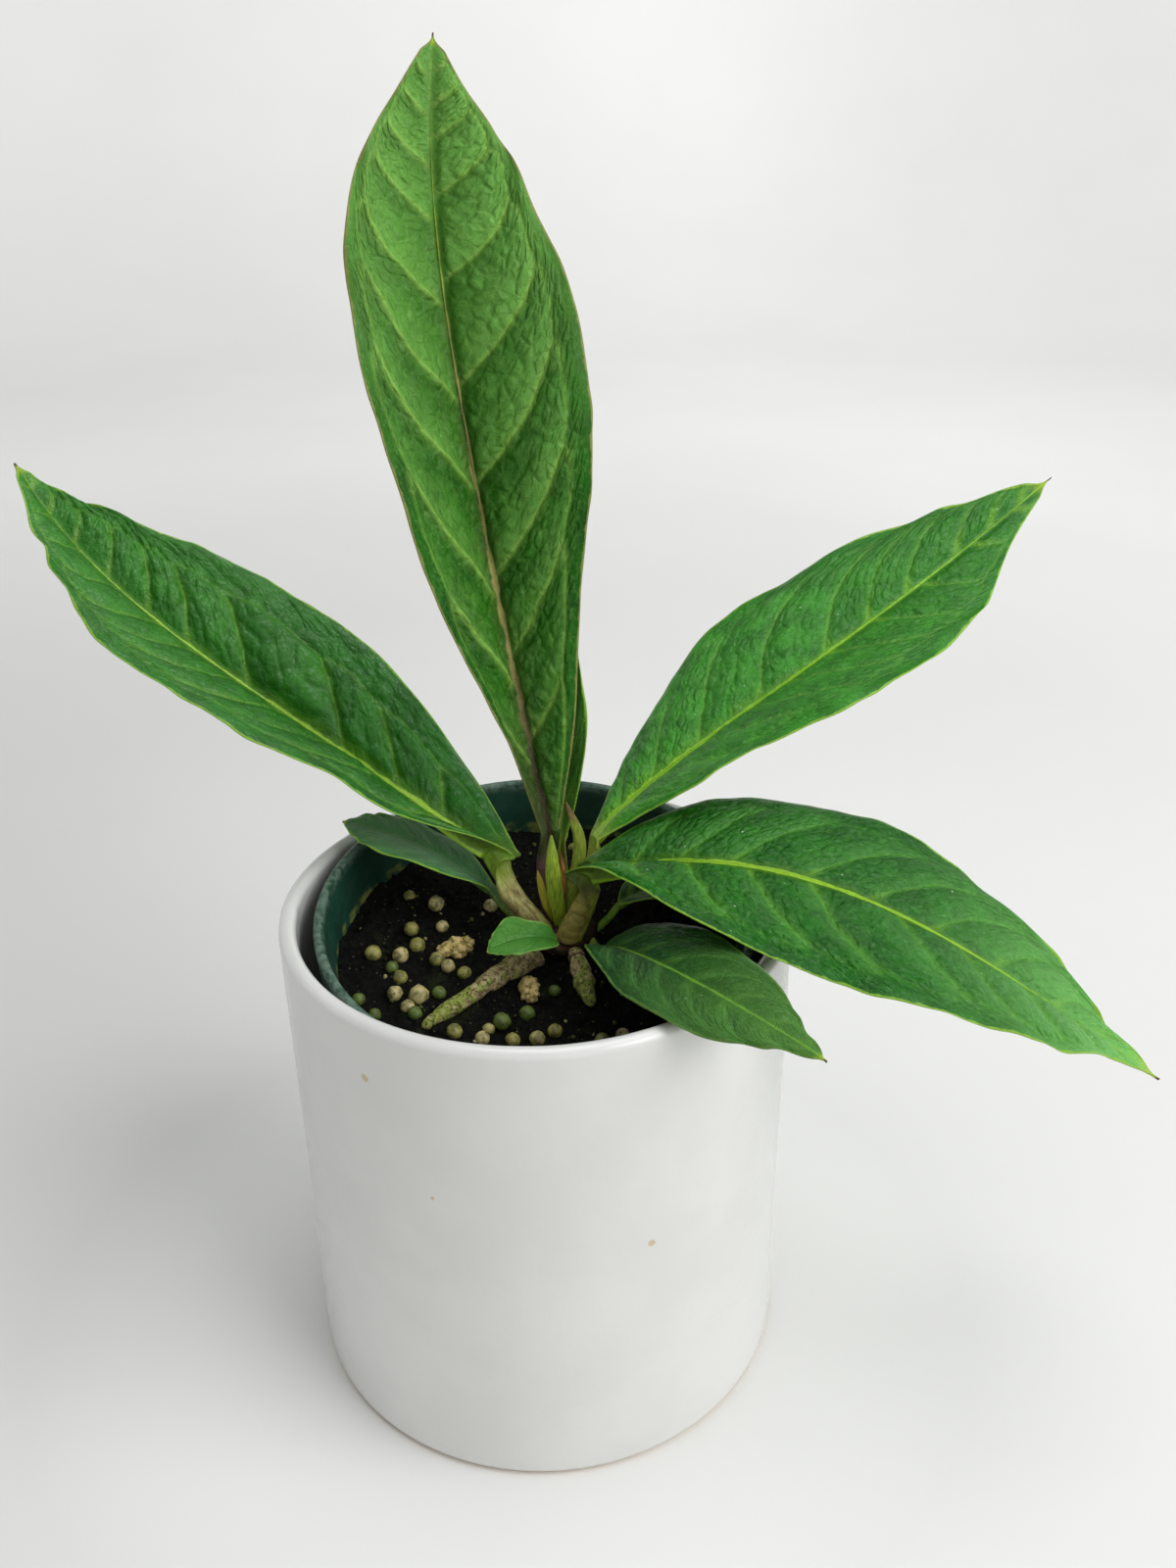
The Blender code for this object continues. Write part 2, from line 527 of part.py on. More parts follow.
def blade_point(leaf, t, v):
    """Place and normal of the blade's middle surface at t along the rib and v across, -1 to 1."""
    t, v = np.broadcast_arrays(np.asarray(t, float), np.asarray(v, float))
    u, left = np.abs(v), v > 0
    place, way = bezier(leaf["rib"], t)
    side, up = spread(leaf["heading"], way, eased(leaf["roll"], t))
    half = np.where(left, eased(leaf["left"], t), eased(leaf["right"], t))
    fold = np.radians(np.where(left, eased(leaf["fold_left"], t), eased(leaf["fold_right"], t)))
    camber = math.radians(leaf["camber"])
    first, here = fold + camber, fold + camber * (1 - 2 * u)
    out = half * (np.sin(first) - np.sin(here)) / (2 * camber)
    rise = half * (np.cos(here) - np.cos(first)) / (2 * camber)
    sign = np.where(left, 1.0, -1.0)
    place = place + (sign * out)[..., None] * side + rise[..., None] * up
    normal = np.cos(here)[..., None] * up - (sign * np.sin(here))[..., None] * side
    return place, normal


def relief(leaf, row, u, v):
    """How far the blade puckers up between its veins, and how its margin waves."""
    pillow = np.abs(np.sin(math.pi * leaf["veins"] * row))**0.8
    inside = np.clip(u / 0.2, 0, 1) * np.clip((COLLECTIVE_VEIN - u) / 0.2, 0, 1)
    ends = np.clip(row / 0.08, 0, 1) * np.clip((1 - row) / 0.12, 0, 1)
    wave = leaf["wave"] * u**3 * np.sin(2 * math.pi * leaf["veins"] * 0.5 * row + 1.5 * v)
    return ends * (np.where(v > 0, *leaf["relief"]) * pillow * inside + wave)


def blade_run(leaf, row, u):
    """How far along the rib a row lies at u across: it runs forwards like a vein and its lobes reach back."""
    even, bend = VEIN_SWEEP
    forwards = (even * u + bend * u**4) * (1 - row) * (1 - (1 - row)**2.5)
    back = (leaf["joint"] + leaf["lobes"]) * u**2
    return row + forwards + (leaf["joint"] - back) * (1 - row)**LOBE_FADE


def stalk_curve(leaf):
    """The curve of the leaf stalk, from its foot on the stem to the base of the blade."""
    foot = np.array(stem_frame() @ Vector(leaf["foot"]))
    neck = np.array(leaf["neck"])
    base = bezier(leaf["rib"], leaf["joint"])[0]
    return foot, foot + (neck - foot) * 0.67, base + (neck - base) * 0.67, base


def foot_way(leaf):
    """A stalk leaves the top of the stem upwards, and the side of the stem outwards."""
    x, y, z = leaf["foot"]
    way = Vector((0, 0, 1)) if z > 0 else Vector((x, y, 0)).normalized()
    return np.array([stem_frame().to_3x3() @ way])


def leaf_rings(leaf, rows, across):
    """The upper and lower surface of a whole leaf: rows from the foot of the stalk to the tip."""
    v = np.array([-u for u in reversed(across[1:])] + list(across))
    u = np.abs(v)
    half = BLADE_THICKNESS / 2
    upper, lower = [], []
    curve = stalk_curve(leaf)
    for k in range(PETIOLE_ROWS):
        p = k / PETIOLE_ROWS
        place, way = bezier(curve, np.array([p]))
        way = foot_way(leaf) if k == 0 else way
        side, up = spread(leaf["heading"], way, np.array([leaf["roll"][0]]))
        side, up, place = side[0], up[0], place[0]
        radius = leaf["stalk"] * (1.0 + 0.2 * (1 - p)**2)
        base_half = (leaf["left"][0] + leaf["right"][0]) / 2
        width = radius + (base_half - radius) * p**2
        bulge = radius * np.sqrt(np.clip(1 - u**2, 0, 1))
        lip = 0.25 * leaf["stalk"] * p * u**2
        fold = np.radians(np.where(v > 0, leaf["fold_left"][0], leaf["fold_right"][0])) * p**2
        across_stalk = place + np.outer(v * width * np.cos(fold), side)
        across_stalk = across_stalk + np.outer(u * width * np.sin(fold), up)
        upper.append(across_stalk + np.outer(half + (1 - 0.75 * p) * bulge + lip, up))
        lower.append(across_stalk - np.outer(half + (1 - 0.25 * p) * bulge - lip, up))
    for row in rows:
        t = blade_run(leaf, row, u)
        place, normal = blade_point(leaf, t, v)
        place = place + normal * relief(leaf, row, u, v)[:, None]
        keel = leaf["stalk"] * 0.75 * (1 - row)**1.2 + 0.25
        ridge = keel * np.clip(1 - (u / (0.16 + 0.84 * (1 - row)**14)), 0, 1)
        upper.append(place + normal * half)
        lower.append(place - normal * (half + ridge)[:, None])
    return np.array(upper), np.array(lower)


def leaf_body(name, leaf):
    """One closed solid: both faces split into like triangles, joined along the margin and capped."""
    large = leaf["veins"] == VEINS
    count = leaf["veins"] * (ROWS_PER_VEIN if large else ROWS_PER_SMALL_VEIN)
    rows = [k / count for k in range(count)] + [1.0]
    across = ACROSS if large else SMALL_ACROSS
    upper, lower = leaf_rings(leaf, rows, across)
    n, m = upper.shape[:2]
    points = np.concatenate([upper.reshape(-1, 3), lower.reshape(-1, 3)])
    under = n * m
    faces = []
    for i in range(n - 1):
        for j in range(m - 1):
            a, b = i * m + j, i * m + j + 1
            c, d = b + m, a + m
            rising = j >= (m - 1) // 2
            for face in ([(a, b, c), (a, c, d)] if rising else [(a, b, d), (b, c, d)]):
                faces.append(face)
                faces.append(tuple(under + k for k in reversed(face)))
        for j in (0, m - 1):
            a, d = i * m + j, (i + 1) * m + j
            faces.append((a, d, under + d, under + a))
    for i in (0, n - 1):
        ring = [i * m + j for j in range(m)] + [under + i * m + j for j in reversed(range(m))]
        faces.append(tuple(ring))
    return solid(name, points, faces, "leaf" if large else "young_leaf")


def sheath_body(name, sheath):
    """A bud sheath: flat oval rings along a curve, pointed at the tip."""
    frame = stem_frame()
    foot = tuple(frame @ Vector((*sheath["foot"], GAP)))
    path = smooth_path((foot,) + sheath["path"], SHEATH_STEPS)
    ways = np.gradient(path, axis=0)
    facing = math.radians(sheath["facing"])
    points, faces = [], []
    for k, place in enumerate(path):
        share = k / (len(path) - 1)
        swell = (0.75 + 0.9 * share) * (1 - share**2.2) + 0.12
        way = ways[k] / np.linalg.norm(ways[k])
        if k == 0:
            way = np.array(frame.to_3x3() @ Vector((0, 0, 1)))
        front = np.array([math.cos(facing), math.sin(facing), 0.0])
        front = front - (front @ way) * way
        front /= np.linalg.norm(front)
        side = np.cross(front, way)
        for s in range(SHEATH_SIDES):
            angle = 2 * math.pi * s / SHEATH_SIDES
            wide = sheath["half_width"] * swell * math.cos(angle)
            deep = sheath["half_thickness"] * swell * math.sin(angle)
            points.append(place + side * wide + front * deep)
    for k in range(len(path) - 1):
        for s in range(SHEATH_SIDES):
            after = (s + 1) % SHEATH_SIDES
            a, b = k * SHEATH_SIDES + s, k * SHEATH_SIDES + after
            faces.append((a, b, b + SHEATH_SIDES, a + SHEATH_SIDES))
    faces.append(tuple(range(SHEATH_SIDES)))
    faces.append(tuple(len(points) - SHEATH_SIDES + s for s in range(SHEATH_SIDES)))
    finish = "dry_sheath" if "dry" in name else "sheath"
    return solid(name, points, faces, finish)


def root_body(name, grow=0.0):
    """An aerial root, or with grow the groove that it lies in."""
    root = ROOTS[name]
    steps, sides = ROOT_STEPS, ROOT_SIDES
    path = smooth_path(root["points"], steps)
    radii = eased(root["radii"], np.linspace(0, 1, steps)) + grow
    ways = np.gradient(path, axis=0)
    path[0] -= grow * ways[0] / np.linalg.norm(ways[0])
    path[-1] += grow * ways[-1] / np.linalg.norm(ways[-1])
    points, faces = [], []
    for k, place in enumerate(path):
        way = ways[k] / np.linalg.norm(ways[k])
        side = np.cross(way, (0, 0, 1))
        side /= np.linalg.norm(side)
        up = np.cross(side, way)
        lump = 1 + ROOT_LUMPS * math.sin(2.3 * k + len(name))
        for s in range(sides):
            angle = 2 * math.pi * s / sides
            points.append(place + radii[k] * lump * (math.cos(angle) * side + math.sin(angle) * up))
    for k in range(steps - 1):
        for s in range(sides):
            after = (s + 1) % sides
            a, b = k * sides + s, k * sides + after
            faces.append((a, b, b + sides, a + sides))
    tip = path[-1] + ROOT_TIP * ways[-1] / np.linalg.norm(ways[-1])
    for end, first in ((path[0], 0), (tip, (steps - 1) * sides)):
        ring = list(range(first, first + sides))
        points.append(end)
        for s in range(sides):
            faces.append((ring[s], ring[(s + 1) % sides], len(points) - 1))
    return solid(name + ("_groove" if grow else ""), points, faces, "root")


def main():
    clear_scene()
    make_cachepot()
    make_nursery_pot()
    make_soil()
    stem_body("stem")
    for name in ROOTS:
        root_body(name)
    for name, leaf in LEAVES.items():
        leaf_body(name, leaf)
    for name, sheath in SHEATHS.items():
        sheath_body(name, sheath)


main()
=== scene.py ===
"""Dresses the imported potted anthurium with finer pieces, and adds floor, light and camera.

Lengths are in millimetres and angles in degrees. The mesh makers turn millimetres into metres.
The forms repeat the named values and curves of the CAD model, so every piece stays where its node is.
"""

import math
import random
from types import SimpleNamespace

import bmesh
import bpy
import numpy as np
from mathutils import Matrix, Vector


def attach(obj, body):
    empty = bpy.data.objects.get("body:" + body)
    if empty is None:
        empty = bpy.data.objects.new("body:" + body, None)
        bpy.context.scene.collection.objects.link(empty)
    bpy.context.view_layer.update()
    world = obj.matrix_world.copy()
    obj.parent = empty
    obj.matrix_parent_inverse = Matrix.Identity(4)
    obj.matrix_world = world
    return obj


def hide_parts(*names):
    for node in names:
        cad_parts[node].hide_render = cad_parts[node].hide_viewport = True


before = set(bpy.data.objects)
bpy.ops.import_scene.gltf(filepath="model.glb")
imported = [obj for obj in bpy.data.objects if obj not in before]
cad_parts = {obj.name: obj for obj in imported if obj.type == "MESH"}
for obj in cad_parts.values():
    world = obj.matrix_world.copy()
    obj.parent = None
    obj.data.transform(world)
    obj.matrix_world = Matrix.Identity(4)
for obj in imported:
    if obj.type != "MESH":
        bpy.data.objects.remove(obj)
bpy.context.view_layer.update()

MM = 0.001
GAP = 0.3
SEED = 11

# Radius of the innermost ring of points in a pot's flat floor
FLOOR_RING = 8.0

# Cachepot
CACHEPOT_RADIUS = 60.0
CACHEPOT_HEIGHT = 124.0
CACHEPOT_WALL = 4.0
CACHEPOT_FLOOR = 6.0
CACHEPOT_FOOT_ROUND = 2.5
CACHEPOT_SIDES = 192

# Nursery pot, leaning forward inside the cachepot
NURSERY_LEAN = 8.6
NURSERY_RIM_CENTRE = (0.0, 0.5, 121.8)
NURSERY_RIM_RADIUS = 52.5
NURSERY_RIM_WALL = 2.3
NURSERY_RIM_BAND = 9.0
NURSERY_RIM_TAPER = 0.3
NURSERY_STEP = 1.6
NURSERY_BASE_RADIUS = 38.9
NURSERY_WALL = 1.2
NURSERY_SIDES = 160
DRAIN_HOLES = 5
DRAIN_HOLE_RADIUS = 4.0
DRAIN_HOLE_RING = 26.0
DRAIN_PLUG_REACH = 3.0
DRAIN_PLUG_SIDES = 32

# Soil
SOIL_DEPTH = 13.8
SOIL_BUMP = 0.6
SOIL_SECTORS = 400
SOIL_RINGS = 104
CLOD_SIZE = 3.4
GRAIN_SIZE = 1.3
PRILL_SINK = 0.35
CRUMBS = 320
SCATTERED_PRILLS = 14
PRILL_SPACE = 0.6
ROOT_STEPS = 12

# Stem
STEM_CENTRE = (6.2, 4.8)
STEM_RADIUS = 6.6
STEM_CROWN_RADIUS = 8.0
STEM_TOP = 112.8
STEM_DEPTH = 24.0

# Leaves: a large and a small leaf's rows along the rib and columns across it, and the rows of the stalk
BLADE_THICKNESS = 0.7
LOBE_FADE = 8
LARGE_LEAF_GRID = (328, 94)
SMALL_LEAF_GRID = (150, 40)
PETIOLE_ROWS = 44

# Lengths from which a leaf counts as large and its relief is full, and the stalk's in the material, in mm
LARGE_LENGTH = 100
FULL_LENGTH = 170
STALK_LENGTH = 22.0

# Relief: depths of pillows and creases, the usual way between lateral veins, and a way beyond any crease
PILLOW_HEIGHT = 0.9
VEIN_CREASE = 0.6
MIDDLE_CREASE = 0.3
VEIN_PITCH = 13
BEYOND = 5

# Puckers between the veins: length, width and depth of a cell in mm, how loose the cells lie, and a seed
PUCKER_CELLS = (
    (6.4, 4.6, 4.8, (0.85, 0.8), 5),
    (2.4, 3.0, 2.6, (0.9, 0.9), 8),
)
HALVES_APART = 90

# Fine wrinkles of the material: cells for each mm along a vein, and from one vein to the next
WRINKLES_ALONG = 0.19
WRINKLES_ACROSS = 5.2

# Small parts
SHEATH_RINGS = 60
SHEATH_SIDES = 40
ROOT_RINGS = 120
ROOT_SIDES = 36
HAIR_RADIUS = 0.08
STEM_SIDES = 96

# Floor: radius of its flat middle and of the curve at its edge
FLOOR_RADIUS = 1500.0
FLOOR_CURVE = 900.0
FLOOR_SIDES = 96

# Distances from the pot of the floor's painted light: wide halo, light off the pot, and glow far out
FLOOR_PAINTED_LIGHT = (850.0, 130.0)
POT_BOUNCE = (170.0, 70.0)
FLOOR_GLOW = (350.0, 1150.0)
WALL_GLOW = (1500.0, 2700.0)

# Light: name, place and target in metres, width in metres and power in watts
LIGHTS = (
    ("key", (1.79, -1.07, 1.56), (0.0, 0.0, 0.12), 2.2, 50.5),
    ("top", (0.3, 0.3, 2.4), (0.0, 0.0, 0.1), 1.8, 21.0),
)
WORLD_COLOUR = (0.96, 0.98, 1.0, 1.0)
WORLD_STRENGTH = 0.42

# The camera as fitted to the photograph: lens and sensor in mm, place in metres, and its three turns
CAMERA_LENS = 31.5
CAMERA_SENSOR = 36.0
CAMERA_PLACE = (0.0, -0.2786, 0.2923)
CAMERA_DOWN = 26.5
CAMERA_TURN = 2.59
CAMERA_TILT = -0.79
CAMERA_NEAR = 0.01


def both(**values):
    """The same values for the left and the right half."""
    return {key + side: value for key, value in values.items() for side in ("_left", "_right")}


# The leaves as in the CAD model. rib is the midrib's curve; heading and roll turn the blade; fold, camber
# and half are its halves' slopes, curve and widths from base to tip; foot, neck and stalk are the stalk's
# course and radius. joint is where the stalk meets the rib, lobes how far the base reaches behind it, and
# wave the depth of the margin's waves. veins are where the lateral veins leave the rib, sweep how they bend
# towards the tip, and collective where they meet under the margin. quilt, crest, pucker, pucker_size and
# calm set the relief: each half's depth, the raised rib, the puckers and the smooth strip beside the rib.
COMMON_LEAF = dict(
    both(sweep=(0.2, 0.14)), roll=(0, 0, 0), camber=10, joint=0.0, lobes=0.0, wave=0.7,
    collective=(0.8, 0.8), quilt=(1.0, 1.0), crest=0.3, pucker=(1.0, 1.0), pucker_size=1.0, calm=3.2)
LEAVES = {
    "leaf_tall": dict(
        rib=((3.2, 10.6, 136.3), (-10.7, 24.3, 214.6), (-21.1, 37.7, 265.7), (-15.3, 46.6, 305.2)),
        heading=100, roll=(6, 5, 0), fold_left=(46, 36, 14), fold_right=(42, 29, 14), camber=14,
        half_left=(3.4, 8.8, 16.6, 22.9, 26.3, 28.4, 26.7, 24.2, 17.6, 8.2, 0.3),
        half_right=(3.4, 12.1, 17.7, 23.5, 28.8, 30.2, 28.4, 23.4, 18.0, 9.2, 0.3), foot=(-2.8, 5.0, GAP),
        neck=(1.9, 10.2, 124.0), stalk=1.9, length=176,
        veins_left=(0.06, 0.15, 0.25, 0.375, 0.482, 0.605, 0.72, 0.797, 0.87, 0.93),
        veins_right=(0.09, 0.183, 0.271, 0.384, 0.504, 0.639, 0.757, 0.839, 0.889, 0.94),
        collective=(0.86, 0.8), quilt=(-0.9, 1.0), crest=1.0, pucker=(1.2, 2.0),
        **both(sweep=(0.13, 0.17))),
    "leaf_left": dict(
        rib=((-7.2, 12.8, 124.7), (-65.2, 44.0, 159.0), (-112.2, 68.6, 173.9), (-129.0, 77.8, 211.3)),
        heading=152, roll=(-12, -5, 3), fold_left=(90, 34, 36, 29, 24, 21, 20, 21, 22, 22, 22),
        fold_right=(38, 15, 33, 31, 30, 28, 26, 25, 24, 22, 21), camber=14,
        half_left=(6.0, 11.6, 21.8, 26.8, 27.4, 28.5, 26.5, 21.6, 15.2, 8.6, 0.3),
        half_right=(5.0, 15.6, 22.0, 26.5, 28.4, 28.4, 26.3, 21.5, 16.0, 7.6, 0.3), foot=(-5.0, -0.8, GAP),
        neck=(-5.9, 6.0, 119.4), stalk=2.1, joint=0.03, lobes=0.004, length=174,
        veins_left=(0.08, 0.165, 0.25, 0.335, 0.419, 0.5, 0.58, 0.68, 0.78, 0.87, 0.94),
        veins_right=(0.07, 0.139, 0.228, 0.401, 0.521, 0.611, 0.71, 0.803, 0.88, 0.94),
        sweep_left=(0.06, 0.2), sweep_right=(0.2, 0.16), collective=(0.82, 0.64), quilt=(0.9, 1.8),
        crest=0.5, pucker=(1.5, 0.9), pucker_size=1.2, calm=7.0),
    "leaf_right": dict(
        rib=((14.7, 12.5, 132.4), (39.3, 23.7, 153.8), (76.0, 45.4, 160.0), (143.1, 84.0, 199.3)),
        heading=30, roll=(-8, 4, 24), fold_left=(-2, 8, 26), fold_right=(12, 18, -8), camber=12,
        half_left=(2.6, 8.6, 16.4, 21.8, 26.6, 29.0, 27.8, 23.8, 18.4, 10.2, 0.3),
        half_right=(2.6, 9.6, 19.4, 22.0, 25.9, 30.0, 28.0, 24.0, 18.1, 7.5, 0.3), foot=(5.8, 4.6, GAP),
        neck=(13.7, 10.8, 124.5), stalk=1.9, wave=0.8, length=165,
        veins_left=(0.08, 0.18, 0.302, 0.449, 0.596, 0.68, 0.755, 0.843, 0.9, 0.95),
        veins_right=(0.1, 0.2, 0.31, 0.42, 0.51, 0.6, 0.69, 0.78, 0.87, 0.94), sweep_left=(0.22, 0.12),
        sweep_right=(0.12, 0.16), collective=(0.84, 0.78), quilt=(1.0, 0.6), crest=0.5, pucker=(1.2, 1.2)),
    "leaf_arching": dict(
        rib=((9.6, 3.8, 126.0), (57.9, -23.0, 156.5), (97.3, -18.5, 116.8), (149.1, -20.5, 78.4)),
        heading=-8, roll=(-5, 5, 4), fold_left=(24, 17, 11, 15, 18, 20), fold_right=(54, 1, -11, -4, 3, 13),
        camber=12, half_left=(4.4, 14.0, 21.4, 25.3, 27.0, 26.8, 25.3, 21.0, 15.3, 5.9, 0.3),
        half_right=(4.4, 14.0, 22.8, 26.3, 27.5, 27.0, 24.4, 20.4, 15.8, 6.1, 0.3), foot=(1.4, -4.6, GAP),
        neck=(11.4, 0.8, 121.0), stalk=2.7, joint=0.03, length=162,
        veins_left=(0.07, 0.15, 0.236, 0.36, 0.47, 0.58, 0.69, 0.8, 0.88, 0.94),
        veins_right=(0.08, 0.17, 0.27, 0.37, 0.521, 0.63, 0.74, 0.83, 0.9, 0.95), sweep_left=(0.22, 0.14),
        sweep_right=(0.1, 0.14), collective=(0.78, 0.8), quilt=(0.45, 0.9), crest=0.25, pucker=(1.1, 1.8),
        pucker_size=0.9),
    "leaf_small_left": dict(
        rib=((-11.3, 14.0, 118.4), (-22.0, 18.2, 124.8), (-34.0, 22.8, 130.0), (-47.9, 28.1, 131.0)),
        heading=158, roll=(4, 1, -8), fold_left=(22, 8, 2), fold_right=(18, 4, 8),
        half_left=(1.6, 4.2, 6.4, 7.6, 8.6, 9.0, 9.0, 8.4, 7.0, 4.4, 0.3),
        half_right=(1.6, 4.2, 6.2, 7.6, 8.6, 9.0, 8.9, 8.2, 6.8, 4.4, 0.3), foot=(-8.1, 2.8, -1.3),
        neck=(-6.6, 9.0, 113.6), stalk=1.3, wave=0.3, length=42,
        veins_left=(0.1, 0.24, 0.38, 0.52, 0.66, 0.8, 0.91),
        veins_right=(0.12, 0.26, 0.4, 0.54, 0.68, 0.82, 0.92)),
    "leaf_small_front": dict(
        rib=((14.6, -8.8, 112.8), (14.2, -18.5, 126.0), (37.0, -48.0, 128.6), (53.9, -72.1, 128.8)),
        heading=-59, roll=(-4, 6, 6), fold_left=(22, 15, -5), fold_right=(34, 7, -10),
        half_left=(1.5, 4.8, 8.9, 10.8, 12.2, 12.9, 12.3, 11.2, 8.3, 3.9, 0.3),
        half_right=(1.5, 3.4, 7.0, 9.4, 11.4, 13.3, 13.2, 12.1, 8.9, 3.6, 0.3), foot=(6.8, -5.1, -1.6),
        neck=(14.2, -4.6, 110.6), stalk=1.2, wave=0.4, length=76, collective=(0.78, 0.78), quilt=(0.8, 0.8),
        **both(veins=(0.1, 0.22, 0.34, 0.46, 0.58, 0.7, 0.82, 0.92))),
    "leaf_narrow_back": dict(
        rib=((6.8, 15.5, 131.0), (9.5, 20.0, 152.0), (10.5, 24.5, 172.0), (5.5, 27.0, 192.0)), heading=70,
        foot=(1.1, 6.6, GAP), neck=(6.7, 13.1, 121.0), stalk=1.1, wave=0.3, length=62,
        **both(
            fold=(40, 35, 25), half=(1.2, 3.4, 5.2, 6.4, 7.0, 7.0, 6.4, 5.4, 4.0, 2.2, 0.3),
            veins=(0.12, 0.28, 0.44, 0.6, 0.76, 0.9))),
    "leaf_small_right": dict(
        rib=((20.0, 4.8, 117.9), (26.0, 7.0, 120.8), (33.0, 10.0, 119.5), (40.5, 13.0, 115.8)), heading=20,
        foot=(8.5, -0.8, -0.6), neck=(16.6, 3.8, 113.8), stalk=0.8, wave=0.2, length=23,
        **both(
            fold=(25, 12, 8), half=(0.8, 3.2, 5.0, 6.0, 6.6, 6.6, 6.2, 5.4, 4.2, 2.4, 0.3),
            veins=(0.15, 0.35, 0.55, 0.75, 0.9))),
    "leaf_small_folded": dict(
        rib=((4.4, -5.9, 114.8), (0.0, -7.6, 118.4), (-6.6, -9.4, 118.4), (-11.8, -11.4, 116.2)),
        heading=-155, fold_left=(10, 0, -5), fold_right=(40, 30, 15),
        half_left=(1.0, 4.0, 5.0, 5.5, 5.8, 5.9, 5.6, 4.9, 3.8, 2.3, 0.3),
        half_right=(1.0, 3.6, 4.2, 4.4, 5.0, 6.2, 6.4, 5.6, 4.3, 2.5, 0.3), foot=(-4.2, -5.0, GAP),
        neck=(3.0, -3.4, 114.4), stalk=0.7, wave=0.2, length=18, quilt=(0.6, 0.6), crest=0.2,
        **both(veins=(0.2, 0.45, 0.7))),
}

# Bud sheaths: foot in the stem's own frame, then the path they follow
SHEATHS = {
    "sheath_front": dict(
        foot=(-0.4, 0.0), path=((4.6, 4.3, 122.0), (4.1, 4.5, 130.0), (4.0, 5.0, 137.6)),
        half_width=1.75, half_thickness=1.0, facing=-90),
    "sheath_right": dict(
        foot=(2.7, 1.2), path=((9.2, 7.8, 121.0), (10.8, 9.2, 133.0), (7.8, 9.2, 144.0)),
        half_width=1.7, half_thickness=0.8, facing=-70),
    "sheath_small": dict(
        foot=(-2.0, 1.6), path=((2.5, 5.6, 118.0), (1.2, 5.4, 124.0), (0.5, 5.4, 128.0)),
        half_width=0.9, half_thickness=0.45, facing=-95),
    "sheath_dry": dict(
        foot=(-0.1, 2.1), path=((6.3, 7.0, 119.0), (6.6, 7.0, 126.0), (6.2, 7.2, 131.5)),
        half_width=0.7, half_thickness=0.5, facing=-80),
}

# Aerial roots; the scar is a ring round the front one, given as a share of its length
SCAR_AT = 0.2
ROOTS = {
    "root_left": dict(
        points=((0.0, -1.8, 108.5), (-6.5, -6.1, 107.9), (-12.9, -11.4, 106.9), (-22.1, -19.4, 105.6),
                (-26.8, -23.7, 104.9)),
        radii=(2.5, 3.0, 2.4, 1.8, 1.0), hairs=260),
    "root_front": dict(
        points=((8.8, -2.8, 109.9), (9.6, -6.8, 109.0), (10.6, -12.4, 107.2), (12.0, -19.2, 105.6)),
        radii=(1.8, 2.1, 2.4, 0.9), hairs=0),
}

# Prills and perlite lumps that show in the photograph: x and y in mm, and radius
PRILLS = (
    (-39.7, 1.5, 2.0), (-29.2, 3.6, 2.0), (-33.0, 0.6, 2.0), (-34.8, -3.6, 1.6), (-32.8, -6.6, 1.8),
    (-33.6, -11.8, 1.9), (-25.3, 19.6, 2.1), (-23.4, 10.4, 1.6), (-21.6, -3.4, 1.7), (-17.6, -6.6, 1.7),
    (-23.4, -12.6, 1.7), (-28.0, -13.6, 2.4), (-30.4, -17.0, 1.7), (-28.6, -19.4, 1.7), (-42.0, -13.2, 1.6),
    (-38.0, -17.8, 1.5), (-19.4, -25.6, 1.8), (-13.2, -27.4, 1.7), (-8.8, -22.4, 2.1), (-11.8, -24.4, 1.4),
    (-11.6, 17.6, 1.8), (-3.0, -20.2, 1.9), (-6.4, -27.6, 1.8), (-0.8, -28.4, 1.8), (3.2, -26.6, 1.7),
    (13.6, -29.4, 1.7), (18.4, -28.6, 1.6), (-24.2, -0.6, 1.9),
)
LUMPS = (
    (-20.2, 3.2, 2.5), (-17.6, 4.0, 2.2), (-19.0, 1.5, 2.1), (-22.4, 2.0, 2.0), (-2.4, -12.0, 2.4),
    (-2.2, -14.6, 2.1),
)


def srgb(red, green, blue):
    """A colour given as seen on a screen, 0 to 255, as the linear values that shaders use."""
    parts = (red / 255, green / 255, blue / 255)
    return tuple(c / 12.92 if c < 0.04045 else ((c + 0.055) / 1.055)**2.4 for c in parts)


# Shader building

NOISE_ROUGHNESS = 0.55


